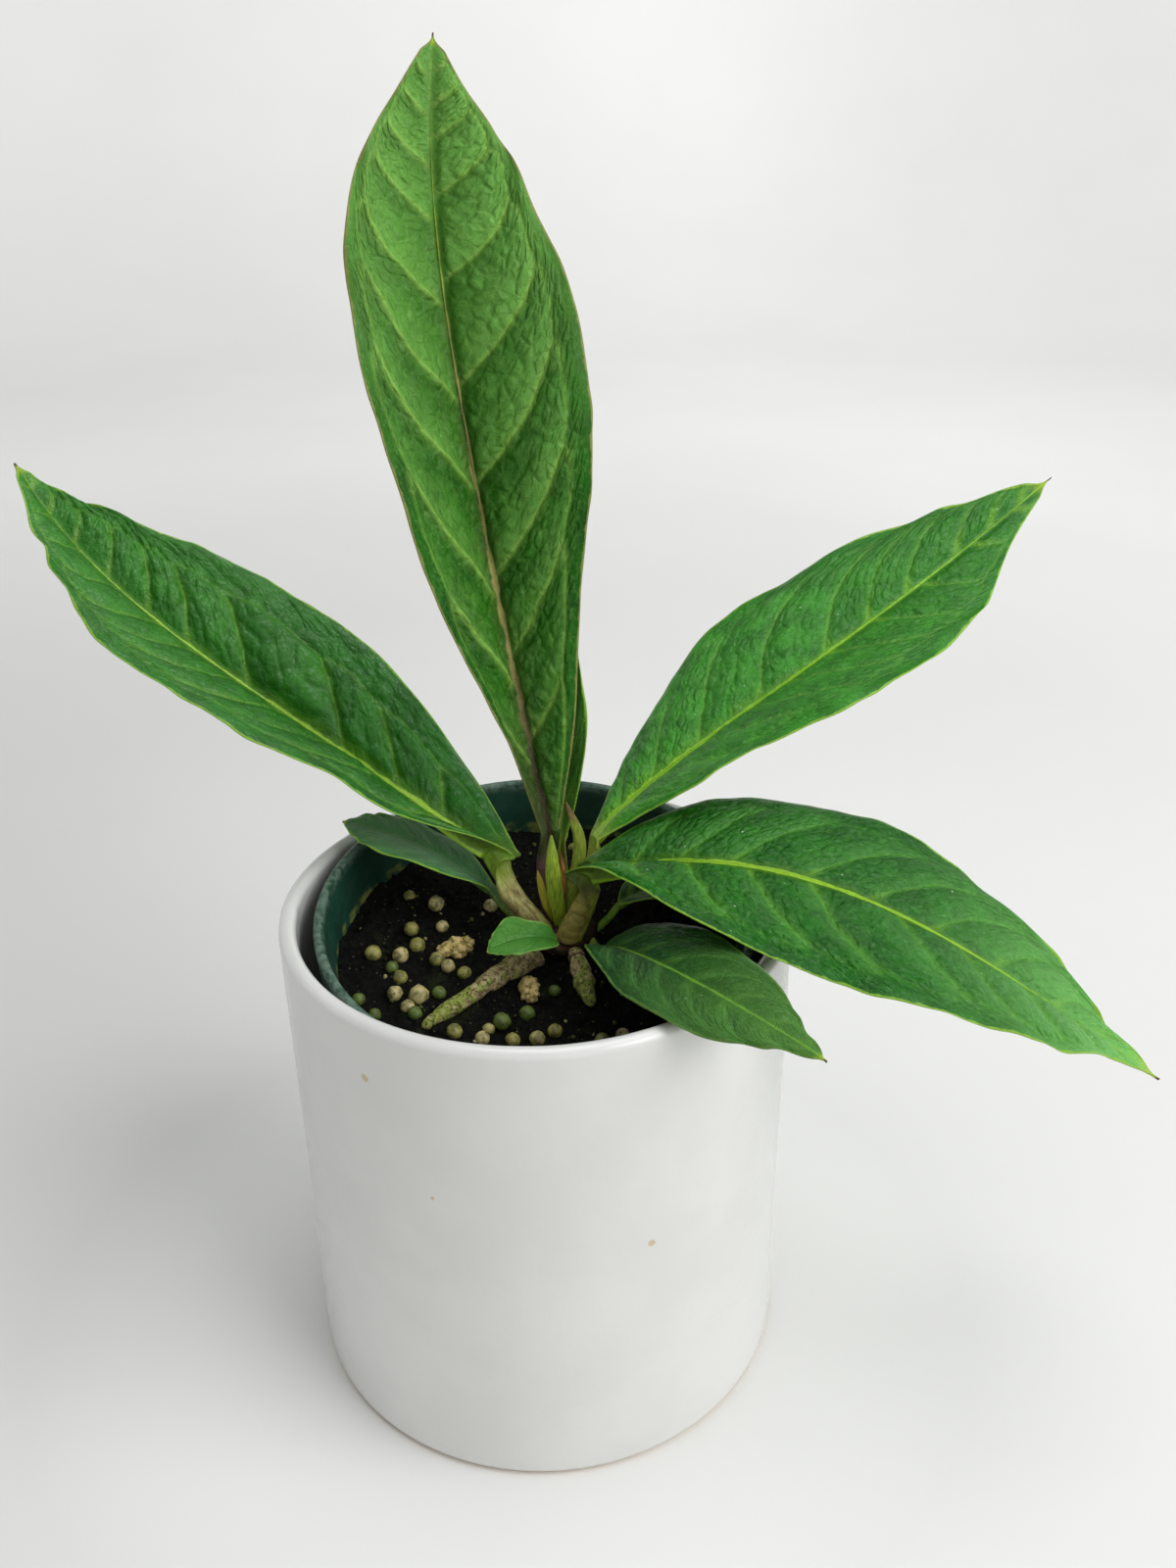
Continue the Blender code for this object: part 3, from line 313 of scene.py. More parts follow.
class Shader:
    """A material whose node tree is built from short calls."""

    def __init__(self, name):
        self.material = bpy.data.materials.new(name)
        self.material.use_nodes = True
        self.tree = self.material.node_tree
        self.surface = self.tree.nodes["Principled BSDF"]
        self.colour = None

    def feed(self, socket, value):
        """Sets or links a socket; three numbers on a colour socket are a colour as seen on a screen."""
        if isinstance(value, bpy.types.NodeSocket):
            self.tree.links.new(value, socket)
        elif isinstance(value, tuple) and len(value) == 3 and socket.type == "RGBA":
            socket.default_value = (*srgb(*value), 1.0)
        else:
            socket.default_value = value

    def node(self, kind, values=None, **settings):
        made = self.tree.nodes.new(kind)
        for key, value in settings.items():
            setattr(made, key, value)
        for key, value in (values or {}).items():
            self.feed(made.inputs[key], value)
        return made

    def finish(self, **values):
        """Sets the colour and the shader's other sockets; an underscore in a name stands for a space."""
        self.feed(self.surface.inputs["Base Color"], self.colour)
        for key, value in values.items():
            self.feed(self.surface.inputs[key.replace("_", " ")], value)
        return self.material

    def math(self, operation, *values):
        return self.node("ShaderNodeMath", dict(enumerate(values)), operation=operation).outputs[0]

    def times(self, first, second):
        return self.math("MULTIPLY", first, second)

    def plus(self, first, second):
        return self.math("ADD", first, second)

    def step(self, value, low, high, to_low=0.0, to_high=1.0):
        """Goes smoothly from to_low at low to to_high at high."""
        values = {"Value": value, "From Min": low, "From Max": high, "To Min": to_low, "To Max": to_high}
        return self.node("ShaderNodeMapRange", values, interpolation_type="SMOOTHSTEP").outputs[0]

    def mix(self, share, first, second):
        return self.node("ShaderNodeMix", {0: share, 6: first, 7: second}, data_type="RGBA").outputs[2]

    def coat(self, share, colour):
        """Lays a colour over what is there so far; share says how much it covers."""
        self.colour = self.mix(share, self.colour, colour)

    def noise(self, vector, scale, detail=3.0):
        values = {"Vector": vector, "Scale": scale, "Detail": detail, "Roughness": NOISE_ROUGHNESS}
        return self.node("ShaderNodeTexNoise", values).outputs[0]

    def cells(self, vector, scale, feature="F1"):
        values = {"Vector": vector, "Scale": scale}
        return self.node("ShaderNodeTexVoronoi", values, feature=feature).outputs["Distance"]

    def cloud(self, vector, scale, low, high, most=1.0, detail=3.0):
        """Soft patches: 0 where the noise is under low, most where it is over high."""
        return self.step(self.noise(vector, scale, detail), low, high, 0.0, most)

    def dots(self, vector, scale, reach, core, most=1.0):
        """Round dots: 0 beyond reach of their middle points, most within the core."""
        return self.step(self.cells(vector, scale), reach, core, 0.0, most)

    def shaken(self, vector, mm, scale):
        """A vector moved by smooth noise that is read at mm."""
        values = {"Vector": mm, "Scale": scale, "Detail": 2.0}
        shift = self.node("ShaderNodeTexNoise", values).outputs["Color"]
        return self.node("ShaderNodeVectorMath", {0: vector, 1: shift}, operation="ADD").outputs[0]

    def stretched(self, vector, scale):
        return self.node("ShaderNodeMapping", {"Vector": vector, "Scale": scale}).outputs[0]

    def attribute(self, name):
        """A vector kept at the mesh points, with its three parts."""
        vector = self.node("ShaderNodeAttribute", attribute_name=name).outputs["Vector"]
        parts = self.node("ShaderNodeSeparateXYZ", {0: vector})
        return vector, parts.outputs[0], parts.outputs[1], parts.outputs[2]

    def millimetres(self):
        """Object coordinates in millimetres."""
        place = self.node("ShaderNodeTexCoord").outputs["Object"]
        return self.node("ShaderNodeVectorMath", {0: place, "Scale": 1 / MM}, operation="SCALE").outputs[0]

    def bumped(self, height, millimetres):
        """A normal from a height of 0 to 1 that stands for this many millimetres."""
        values = {"Height": height, "Distance": millimetres * MM, "Strength": 1.0}
        return self.node("ShaderNodeBump", values).outputs[0]


# Mesh building

def piece(name, points, faces, finish, node, fields=None, smooth_angle=None):
    """A piece from points in millimetres, riding on the one body and standing for its CAD node."""
    mesh = bpy.data.meshes.new(name)
    mesh.from_pydata(np.asarray(points, float) * MM, [], faces)
    for key, values in (fields or {}).items():
        layer = mesh.attributes.new(key, "FLOAT_VECTOR", "POINT")
        layer.data.foreach_set("vector", np.asarray(values, np.float32).ravel())
    bm = bmesh.new()
    bm.from_mesh(mesh)
    bmesh.ops.recalc_face_normals(bm, faces=bm.faces)
    bm.to_mesh(mesh)
    bm.free()
    mesh.shade_smooth()
    if smooth_angle:
        mesh.set_sharp_from_angle(angle=math.radians(smooth_angle))
    mesh.materials.append(finish)
    obj = bpy.data.objects.new(name, mesh)
    bpy.context.scene.collection.objects.link(obj)
    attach(obj, "root")
    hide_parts(node)
    return obj


def unit(vectors):
    return vectors / np.linalg.norm(vectors, axis=-1, keepdims=True)


def circle(radius, height, sides):
    angles = [2 * math.pi * k / sides for k in range(sides)]
    return [(radius * math.cos(a), radius * math.sin(a), height) for a in angles]


def round_faces(rings, sides, closed=True):
    """Faces of rings of points about Z that come after a middle point, and before another one if closed."""
    faces = []
    last = 1 + (rings - 1) * sides
    for k in range(sides):
        after = (k + 1) % sides
        faces.append((0, 1 + after, 1 + k))
        for low in range(1, last, sides):
            faces.append((low + k, low + after, low + sides + after, low + sides + k))
        if closed:
            faces.append((last + k, last + after, last + sides))
    return faces


def turned(profile, sides):
    """Points and faces of a profile of (radius, height) turned about Z; it starts and ends on the axis."""
    points = [(0.0, 0.0, profile[0][1])]
    for radius, height in profile[1:-1]:
        points += circle(radius, height, sides)
    points.append((0.0, 0.0, profile[-1][1]))
    return points, round_faces(len(profile) - 2, sides)


def arc(centre, radius, start, end, steps):
    angles = [math.radians(start + (end - start) * k / steps) for k in range(steps + 1)]
    return [(centre[0] + radius * math.cos(a), centre[1] + radius * math.sin(a)) for a in angles]


def line(start, end, steps):
    """Points from start up to, but not including, end."""
    return [tuple(s + (e - s) * k / steps for s, e in zip(start, end)) for k in range(steps)]


def placed(points, where):
    return [tuple(where @ Vector(p)) for p in points]


def tube(rings):
    """Faces between like rings of points, closed at both ends."""
    count, sides = len(rings), len(rings[0])
    points = [p for ring in rings for p in ring]
    faces = []
    for k in range(count - 1):
        for s in range(sides):
            after = (s + 1) % sides
            faces.append((k * sides + s, k * sides + after, (k + 1) * sides + after, (k + 1) * sides + s))
    faces.append(tuple(range(sides)))
    faces.append(tuple((count - 1) * sides + s for s in range(sides)))
    return points, faces


# Smooth random fields for numpy

def random_at(i, j, seed):
    """A steady random number from 0 to 1 for each pair of whole numbers."""
    mixed = np.sin(i * 127.1 + j * 311.7 + seed * 74.7) * 43758.5453
    return mixed - np.floor(mixed)


def field(x, y, seed):
    """Smooth noise from -1 to 1, with one bump or hollow for each unit."""
    x, y = np.broadcast_arrays(np.asarray(x, float), np.asarray(y, float))
    i, j = np.floor(x), np.floor(y)
    f, g = x - i, y - j
    f, g = f * f * (3 - 2 * f), g * g * (3 - 2 * g)
    low = random_at(i, j, seed) * (1 - f) + random_at(i + 1, j, seed) * f
    high = random_at(i, j + 1, seed) * (1 - f) + random_at(i + 1, j + 1, seed) * f
    return 2 * (low * (1 - g) + high * g) - 1


def cell_field(x, y, seed, loose=(1.0, 1.0)):
    """Distances to the nearest and second nearest of scattered points, and the nearest one's number.

    There is one point for each unit square, and loose is how far it may lie from the middle of its square.
    """
    x, y = np.broadcast_arrays(np.asarray(x, float), np.asarray(y, float))
    i, j = np.floor(x), np.floor(y)
    near = np.full(x.shape, 9.0)
    second = np.full(x.shape, 9.0)
    number = np.zeros(x.shape)
    for di in (-1, 0, 1):
        for dj in (-1, 0, 1):
            cx = i + di + 0.5 + loose[0] * (random_at(i + di, j + dj, seed) - 0.5)
            cy = j + dj + 0.5 + loose[1] * (random_at(i + di, j + dj, seed + 1) - 0.5)
            away = np.hypot(x - cx, y - cy)
            closer = away < near
            second = np.where(closer, near, np.minimum(second, away))
            number = np.where(closer, random_at(i + di, j + dj, seed + 2), number)
            near = np.where(closer, away, near)
    return near, second, number


def smooth_step(value, low, high):
    share = np.clip((value - low) / (high - low), 0, 1)
    return share * share * (3 - 2 * share)


# Curves shared with the CAD model

def leaning(top):
    """A frame at a point that leans as the nursery pot does."""
    return Matrix.Translation(Vector(top)) @ Matrix.Rotation(math.radians(NURSERY_LEAN), 4, "X")


def nursery_frame():
    return leaning(NURSERY_RIM_CENTRE)


def nursery_height():
    lean = math.radians(NURSERY_LEAN)
    drop = NURSERY_RIM_CENTRE[2] - CACHEPOT_FLOOR - GAP - NURSERY_BASE_RADIUS * math.sin(lean)
    return drop / math.cos(lean)


def nursery_inside(depth):
    top = NURSERY_RIM_RADIUS - NURSERY_STEP
    return top + (NURSERY_BASE_RADIUS - top) * depth / nursery_height() - NURSERY_WALL


def stem_frame():
    return leaning((*STEM_CENTRE, STEM_TOP))


def soil_height(x, y):
    """Height of the soil in the nursery pot's own frame."""
    waves = np.sin(x * 0.31 + 0.7) * np.cos(y * 0.27 + 1.9) + 0.6 * np.sin(x * 0.13 - y * 0.17 + 0.4)
    return -SOIL_DEPTH + SOIL_BUMP * waves * away_from_stem(x, y)


def away_from_stem(x, y):
    return np.clip((np.hypot(x - STEM_CENTRE[0], y - STEM_CENTRE[1]) - 10.0) / 8.0, 0, 1)


def soil_world_height(y):
    """Height over the floor of the soil's mean level, which falls towards the viewer."""
    lean = math.radians(NURSERY_LEAN)
    _, cy, cz = NURSERY_RIM_CENTRE
    middle_y = cy + SOIL_DEPTH * math.sin(lean)
    return cz - SOIL_DEPTH * math.cos(lean) + (y - middle_y) * math.tan(lean)


def bezier(points, t):
    """Places and unit directions at t along the cubic curve of four points."""
    p0, p1, p2, p3 = (np.asarray(p, float) for p in points)
    t = np.asarray(t, float)[..., None]
    place = (1 - t)**3 * p0 + 3 * t * (1 - t)**2 * p1 + 3 * t**2 * (1 - t) * p2 + t**3 * p3
    way = (1 - t)**2 * (p1 - p0) + 2 * t * (1 - t) * (p2 - p1) + t**2 * (p3 - p2)
    return place, unit(way)


def eased(values, t):
    """A smooth curve through evenly spaced values, read at t from 0 to 1."""
    values = np.asarray(values, float)
    last = len(values) - 1
    x = np.clip(np.asarray(t, float), 0, 1) * last
    i = np.minimum(x.astype(int), last - 1)
    f = x - i
    padded = np.concatenate([[2 * values[0] - values[1]], values, [2 * values[-1] - values[-2]]])
    a, b, c, d = padded[i], padded[i + 1], padded[i + 2], padded[i + 3]
    return b + 0.5 * f * (c - a + f * (2 * a - 5 * b + 4 * c - d + f * (3 * (b - c) + d - a)))


def smooth_path(points, steps):
    t = np.linspace(0, 1, steps)
    return np.stack([eased([p[k] for p in points], t) for k in range(3)], -1)


def path_ways(path):
    return unit(np.gradient(path, axis=0))


def spread(heading, way, roll):
    """The sideways and upward directions of a blade whose rib runs along way."""
    angle = math.radians(heading)
    side = np.array([-math.sin(angle), math.cos(angle), 0.0]) * np.ones_like(way)
    side = unit(side - (side * way).sum(-1, keepdims=True) * way)
    up = np.cross(way, side)
    cos, sin = np.cos(np.radians(roll))[..., None], np.sin(np.radians(roll))[..., None]
    return cos * side + sin * up, cos * up - sin * side


def margin_shape(leaf, t, v):
    """Uneven margins, and the last few millimetres drawn out into a thin point."""
    uneven = 0.018 * field(t * 12 + leaf["length"], np.sign(v) * 3, 61)
    uneven = uneven + 0.007 * field(t * 31 + leaf["length"], np.sign(v) * 3, 62)
    uneven = uneven * smooth_step(t, 0.02, 0.12) * smooth_step(t, 0.98, 0.8)
    return (1 + uneven) * (0.22 + 0.78 * smooth_step(t, 0.995, 0.97))


def half_section(leaf, t, v):
    """The half's width, a point's distance out from the rib and above it, and the half's slope there."""
    u, left = np.abs(v), v > 0
    half = np.where(left, eased(leaf["half_left"], t), eased(leaf["half_right"], t))
    half = half * margin_shape(leaf, t, v)
    fold = np.radians(np.where(left, eased(leaf["fold_left"], t), eased(leaf["fold_right"], t)))
    camber = math.radians(leaf["camber"])
    first, here = fold + camber, fold + camber * (1 - 2 * u)
    out = half * (np.sin(first) - np.sin(here)) / (2 * camber)
    rise = half * (np.cos(here) - np.cos(first)) / (2 * camber)
    return half, out, rise, here


def blade_point(leaf, t, v):
    """Place and normal of the blade's middle surface at t along the rib and v across, -1 to 1."""
    place, way = bezier(leaf["rib"], t)
    side, up = spread(leaf["heading"], way, eased(leaf["roll"], t))
    _, out, rise, here = half_section(leaf, t, v)
    sign = np.where(v > 0, 1.0, -1.0)
    place = place + (sign * out)[..., None] * side + rise[..., None] * up
    return place, np.cos(here)[..., None] * up - (sign * np.sin(here))[..., None] * side


def stalk_curve(leaf):
    foot = np.array(stem_frame() @ Vector(leaf["foot"]))
    neck, base = np.array(leaf["neck"]), bezier(leaf["rib"], leaf["joint"])[0]
    return foot, foot + (neck - foot) * 0.67, base + (neck - base) * 0.67, base


def foot_way(leaf):
    x, y, z = leaf["foot"]
    way = Vector((0, 0, 1)) if z > 0 else Vector((x, y, 0)).normalized()
    return np.array(stem_frame().to_3x3() @ way)


# Leaves

def vein_sweep(leaf, row, v):
    """How far the lateral vein from this row has run towards the tip by the time it is v across."""
    u = np.abs(v)
    first = np.where(v > 0, leaf["sweep_left"][0], leaf["sweep_right"][0])
    last = np.where(v > 0, leaf["sweep_left"][1], leaf["sweep_right"][1])
    last = last * (1 - 0.7 * smooth_step(row, 0.45, 0.9))
    return (first * u + last * u**4) * 2.2 * (1 - row) * (1 - (1 - row)**2.5)


def lobe_reach(leaf, row, u):
    """How far rows of a lobed base lie before the stalk's joint at the rib and behind it at the margin."""
    return (leaf["joint"] - (leaf["joint"] + leaf["lobes"]) * u**2) * (1 - row)**LOBE_FADE


def vein_phase(leaf, row, v):
    """Counts the lateral veins from the base: a whole number on each vein."""
    phases = []
    for key in ("veins_left", "veins_right"):
        starts = (0.0,) + leaf[key] + (1.0,)
        phases.append(np.interp(row, starts, range(len(starts))))
    return np.where(v > 0, phases[0], phases[1])


def phase_spacing(x, y, phase):
    """Millimetres from one lateral vein to the next, square across them."""
    xr, xv = np.gradient(x, axis=0), np.gradient(x, axis=1)
    yr, yv = np.gradient(y, axis=0), np.gradient(y, axis=1)
    pr, pv = np.gradient(phase, axis=0), np.gradient(phase, axis=1)
    area = xr * yv - xv * yr
    area = np.where(np.abs(area) < 1e-6, 1e-6, area)
    steep = np.hypot((pr * yv - pv * yr) / area, (xr * pv - xv * pr) / area)
    return np.clip(1 / np.maximum(steep, 0.02), 2.0, 40.0)


def pucker_cells(leaf, x, y, phase, seed):
    """How far inside its cell each point lies and the cell's number, for large, then small puckers."""
    down = (x + np.abs(y)) * 0.7 / leaf["pucker_size"] + HALVES_APART * (y > 0)
    over = phase * VEIN_PITCH / leaf["pucker_size"]
    found = []
    for long, wide, depth, loose, own_seed in PUCKER_CELLS:
        near, second, number = cell_field(down / long, over / wide, seed + own_seed, loose)
        found += [(second - near) * depth, number]
    return found


def blade_relief(leaf, x, y, u, half, phase, spacing, seed):
    """The quilted surface, how near the large and the small creases are, and how far up the puckers."""
    left = y > 0
    share = phase - np.floor(phase)
    rim = np.where(left, *leaf["collective"]) + 0.05 * np.sin(math.pi * share) - 0.02
    inner = smooth_step(u, rim + 0.04, rim - 0.04)
    lateral = np.minimum(share, 1 - share) * spacing + BEYOND * (1 - inner)
    large = np.minimum(lateral, np.abs(u - rim) * half * 1.2 + 0.2)
    middle = np.abs(share - 0.5 + 0.14 * field(x / 14, y / 9, seed + 6)) * spacing
    middle = middle + BEYOND * smooth_step(u, 0.45, 0.75)
    between, number, small_between, small_number = pucker_cells(leaf, x, y, phase, seed)
    risen, small_risen = 1 - np.exp(-between / 1.5), 1 - np.exp(-small_between / 0.8)
    strong, fine = leaf["pucker"]

    pillow = (1 - np.abs(2 * share - 1)**2.1) * PILLOW_HEIGHT * np.clip(spacing / 15, 0, 1.25) * inner
    relief = pillow - VEIN_CREASE * np.exp(-large / 1.0) - MIDDLE_CREASE * np.exp(-middle / 0.8)
    relief = relief + strong * (0.22 + 0.28 * number) * risen
    relief = relief + fine * (0.08 + 0.1 * small_number) * small_risen
    relief = relief + 0.3 * field(x / 10, y / 8, seed + 9)
    inside = smooth_step(np.abs(y), 0.7, leaf["calm"]) * smooth_step(u, 1.0, 0.86)
    relief = relief * np.where(left, *leaf["quilt"]) * size_share(leaf) * inside

    small_crease = np.maximum(0.7 * np.exp(-(between / 0.45)**2), np.exp(-(middle / 0.45)**2))
    small_crease = np.maximum(small_crease, 0.4 * np.exp(-(small_between / 0.3)**2))
    creases = np.stack([np.exp(-(large / 0.5)**2), small_crease, inner], -1) * inside[..., None]
    domes = risen * (0.4 + 0.6 * number) * min(strong, 1.2)
    small_domes = small_risen * (0.3 + 0.7 * small_number) * min(fine, 1.2)
    return relief, creases, np.stack([domes, small_domes, inside], -1) * inside[..., None]


def size_share(leaf):
    return min(1.0, leaf["length"] / FULL_LENGTH)


def margin_waves(leaf, x, y, u, row, seed):
    """The slow waves of the margin and its fine ripple, in millimetres."""
    wave = leaf["wave"] * u**3 * np.sin(math.pi * 9 * row + 1.5 * np.sign(y))
    return wave + 0.35 * size_share(leaf) * u**6 * field(x / 6, np.sign(y), seed + 3)


def ridge(y, width, height):
    return height * np.exp(-(y / width)**2)


def blade_rows(leaf, rows, v, seed):
    """Both faces of the blade, and what its points hold for the material."""
    row, v = np.meshgrid(rows, v, indexing="ij")
    u = np.abs(v)
    t = row + vein_sweep(leaf, row, v) + lobe_reach(leaf, row, u)
    half = half_section(leaf, t, v)[0]
    x, y = t * leaf["length"], v * half
    wobble = 0.035 * field(x / 11, y / 9, seed + 1) + 0.02 * field(x / 4, y / 4, seed + 2)
    phase = vein_phase(leaf, row, v) + wobble * smooth_step(u, 0.0, 0.2)
    spacing = phase_spacing(x, y, phase)
    place, normal = blade_point(leaf, t, v)
    relief, creases, puckers = blade_relief(leaf, x, y, u, half, phase, spacing, seed)
    ends = np.clip(row / 0.05, 0, 1) * np.clip((1 - row) / 0.08, 0, 1)
    lift = ends * (relief + margin_waves(leaf, x, y, u, row, seed))
    place = place + normal * lift[..., None]
    edge = half * (1 - u)
    over, under = blade_thickness(leaf, row, y, edge)
    none = np.zeros_like(row)
    held = {
        "leaf_at": np.stack([phase, v, t], -1),
        "leaf_mm": np.stack([x, y, edge], -1),
        "leaf_kind": np.stack([none, none, spacing], -1),
        "leaf_net": creases,
        "leaf_pucker": puckers,
    }
    return place + normal * over[..., None], place - normal * under[..., None], held


def blade_thickness(leaf, row, y, edge):
    """The blade's thickness over and under its middle surface, with the rib's crest and its keel."""
    thick = BLADE_THICKNESS / 2 * (0.4 + 0.6 * smooth_step(edge, 0.0, 1.6))
    stalk = leaf["stalk"]
    crest_height = leaf["crest"] * (1 - row)**0.8 + 0.08
    crest = ridge(y, 0.45 * stalk * (1 - row) + 0.3, crest_height) * np.clip(row / 0.06, 0, 1)
    keel = ridge(y, 0.5 * stalk * (1 - row) + 0.5, stalk * 0.75 * (1 - row)**1.2 + 0.25)
    return thick + crest, thick + keel


def blade_start(leaf, v):
    """The first row of the blade, measured out from the stalk's joint, over it and along the rib."""
    joint = np.array([leaf["joint"]])
    base, way = bezier(leaf["rib"], joint)
    side, up = spread(leaf["heading"], way, eased(leaf["roll"], joint))
    place, _ = blade_point(leaf, lobe_reach(leaf, 0.0, np.abs(v)), v)
    away = place - base[0]
    return away @ side[0], away @ up[0], away @ way[0]


def base_width(leaf):
    return (leaf["half_left"][0] + leaf["half_right"][0]) / 2


def petiole_rows(leaf, v):
    """Both faces of the stalk, round at first, then opening into the base, and what its points hold."""
    base = blade_start(leaf, v)
    upper, lower = [], []
    shares = np.arange(PETIOLE_ROWS) / PETIOLE_ROWS
    for p in shares:
        high, low = petiole_row(leaf, p, v, base)
        upper.append(high)
        lower.append(low)
    share, across = np.meshgrid(shares, v, indexing="ij")
    none = np.zeros_like(share)
    held = {
        "leaf_at": np.stack([none, across, none], -1),
        "leaf_mm": np.stack([(share - 1) * STALK_LENGTH, across * base_width(leaf), none + 3.0], -1),
        "leaf_kind": np.stack([1 - share, none, none + 10.0], -1),
        "leaf_net": np.stack([none] * 3, -1),
        "leaf_pucker": np.stack([none] * 3, -1),
    }
    return np.array(upper), np.array(lower), held


def petiole_row(leaf, p, v, base):
    """The upper and the lower points across the stalk at p, from 0 at its foot to 1 at the blade."""
    out, rise, ahead = base
    u, stalk = np.abs(v), leaf["stalk"]
    opened, flared = smooth_step(p, 0.35, 1.0), smooth_step(p, 0.72, 1.0)
    place, side, up, way = petiole_frame(leaf, p)
    radius = stalk * (1.0 + 0.2 * (1 - p)**2)
    width = radius + (base_width(leaf) - radius) * p**2
    fold = np.radians(np.where(v > 0, leaf["fold_left"][0], leaf["fold_right"][0])) * opened
    stalk_out, stalk_rise = v * width * np.cos(fold), u * width * np.sin(fold)
    across = stalk_out + flared * (out - stalk_out)
    middle = stalk_rise * opened + flared * (rise - stalk_rise * opened)
    bulge = radius * np.sqrt(np.clip(1 - u**2, 0, 1)) + 0.08
    groove = 0.3 * stalk * ridge(v * width, 0.35 * radius, 1.0) * smooth_step(p, 0.1, 0.5)
    keel = ridge(v * width, 0.5 * stalk + 0.5, stalk * 0.75 + 0.25)
    high = middle + (1 - opened) * (bulge - groove) + opened * BLADE_THICKNESS / 2
    low = middle - (1 - opened) * bulge - opened * (BLADE_THICKNESS / 2 + keel)
    place = place + np.outer(across, side) + np.outer(flared**2 * ahead, way)
    return place + np.outer(high, up), place + np.outer(low, up)


def petiole_frame(leaf, p):
    """The stalk's place and its sideways, upward and forward directions, from its foot to the blade."""
    place, way = bezier(stalk_curve(leaf), np.array([p]))
    turn = smooth_step(p, 0.0, 0.25)
    way = way * turn + foot_way(leaf) * (1 - turn)
    blade_way = bezier(leaf["rib"], np.array([leaf["joint"]]))[1]
    way = unit(way + (blade_way - way) * smooth_step(p, 0.75, 1.0))
    side, up = spread(leaf["heading"], way, np.array([leaf["roll"][0]]))
    return place[0], side[0], up[0], way[0]


def leaf_piece(name, leaf, finish, seed):
    """One whole leaf with its stalk, as a closed shell."""
    large = leaf["length"] > LARGE_LENGTH
    rows_count, columns = LARGE_LEAF_GRID if large else SMALL_LEAF_GRID
    rows = np.linspace(0, 1, rows_count + 1)**1.06
    half_across = np.linspace(0, 1, columns // 2 + 1)**0.94
    v = np.concatenate([-half_across[:0:-1], half_across])
    blade_up, blade_down, blade_held = blade_rows(leaf, rows, v, seed)
    stalk_up, stalk_down, stalk_held = petiole_rows(leaf, v)
    upper = np.concatenate([stalk_up, blade_up])
    lower = np.concatenate([stalk_down, blade_down])
    fields = {}
    for key, values in blade_held.items():
        values = np.concatenate([stalk_held[key], values]).reshape(-1, 3)
        fields[key] = np.concatenate([values, values])
    n, m = upper.shape[:2]
    fields["leaf_kind"][n * m:, 1] = 1.0
    points = np.concatenate([upper.reshape(-1, 3), lower.reshape(-1, 3)])
    return piece(name + "_blade", points, shell_faces(n, m), finish, name, fields)


def shell_faces(n, m):
    """Faces of two like grids of points, one over the other, joined all round."""
    i, j = np.meshgrid(np.arange(n - 1), np.arange(m - 1), indexing="ij")
    a = (i * m + j).ravel()
    top = np.stack([a, a + 1, a + 1 + m, a + m], -1)
    under = n * m
    sides = [(k * m + j, (k + 1) * m + j) for k in range(n - 1) for j in (0, m - 1)]
    ends = [(k * m + j, k * m + j + 1) for k in (0, n - 1) for j in range(m - 1)]
    joined = [(a, b, under + b, under + a) for a, b in sides + ends]
    return top.tolist() + (top[:, ::-1] + under).tolist() + joined


def leaf_places(s, lit_side):
    """What a leaf is painted by: places and distances in millimetres, and shares from 0 to 1."""
    at = SimpleNamespace()
    _, at.phase, across, at.along = s.attribute("leaf_at")
    at.mm, at.x, y, at.edge = s.attribute("leaf_mm")
    _, at.stalk, at.under, spacing = s.attribute("leaf_kind")
    _, large_crease, at.small_crease, inside_rim = s.attribute("leaf_net")
    _, at.domes, at.small_domes, _ = s.attribute("leaf_pucker")
    at.off_middle, at.off_rib = s.math("ABSOLUTE", across), s.math("ABSOLUTE", y)
    at.right_half = s.step(across, 0.02, -0.02)
    at.inner = s.times(s.step(at.edge, 0.6, 3.0), s.step(at.off_rib, 0.5, 2.5))
    at.clear = s.times(at.inner, inside_rim)

    # How far across the field between two lateral veins, from its lit side, and the distance from a vein
    share = s.math("FRACT", at.phase)
    rest = s.math("SUBTRACT", 1.0, share)
    at.beyond = share if lit_side > 0 else rest
    at.lateral = s.times(s.math("MINIMUM", share, rest), spacing)
    at.vein = s.times(large_crease, s.step(at.edge, 0.3, 2.0))
    at.net = s.step(s.cells(s.shaken(at.mm, at.mm, 0.25), 0.45, "DISTANCE_TO_EDGE"), 0.07, 0.0)
    return at


def halves(s, at, pair):
    """One strength on the left half and another on the right."""
    return s.step(at.right_half, 0.0, 1.0, *pair)


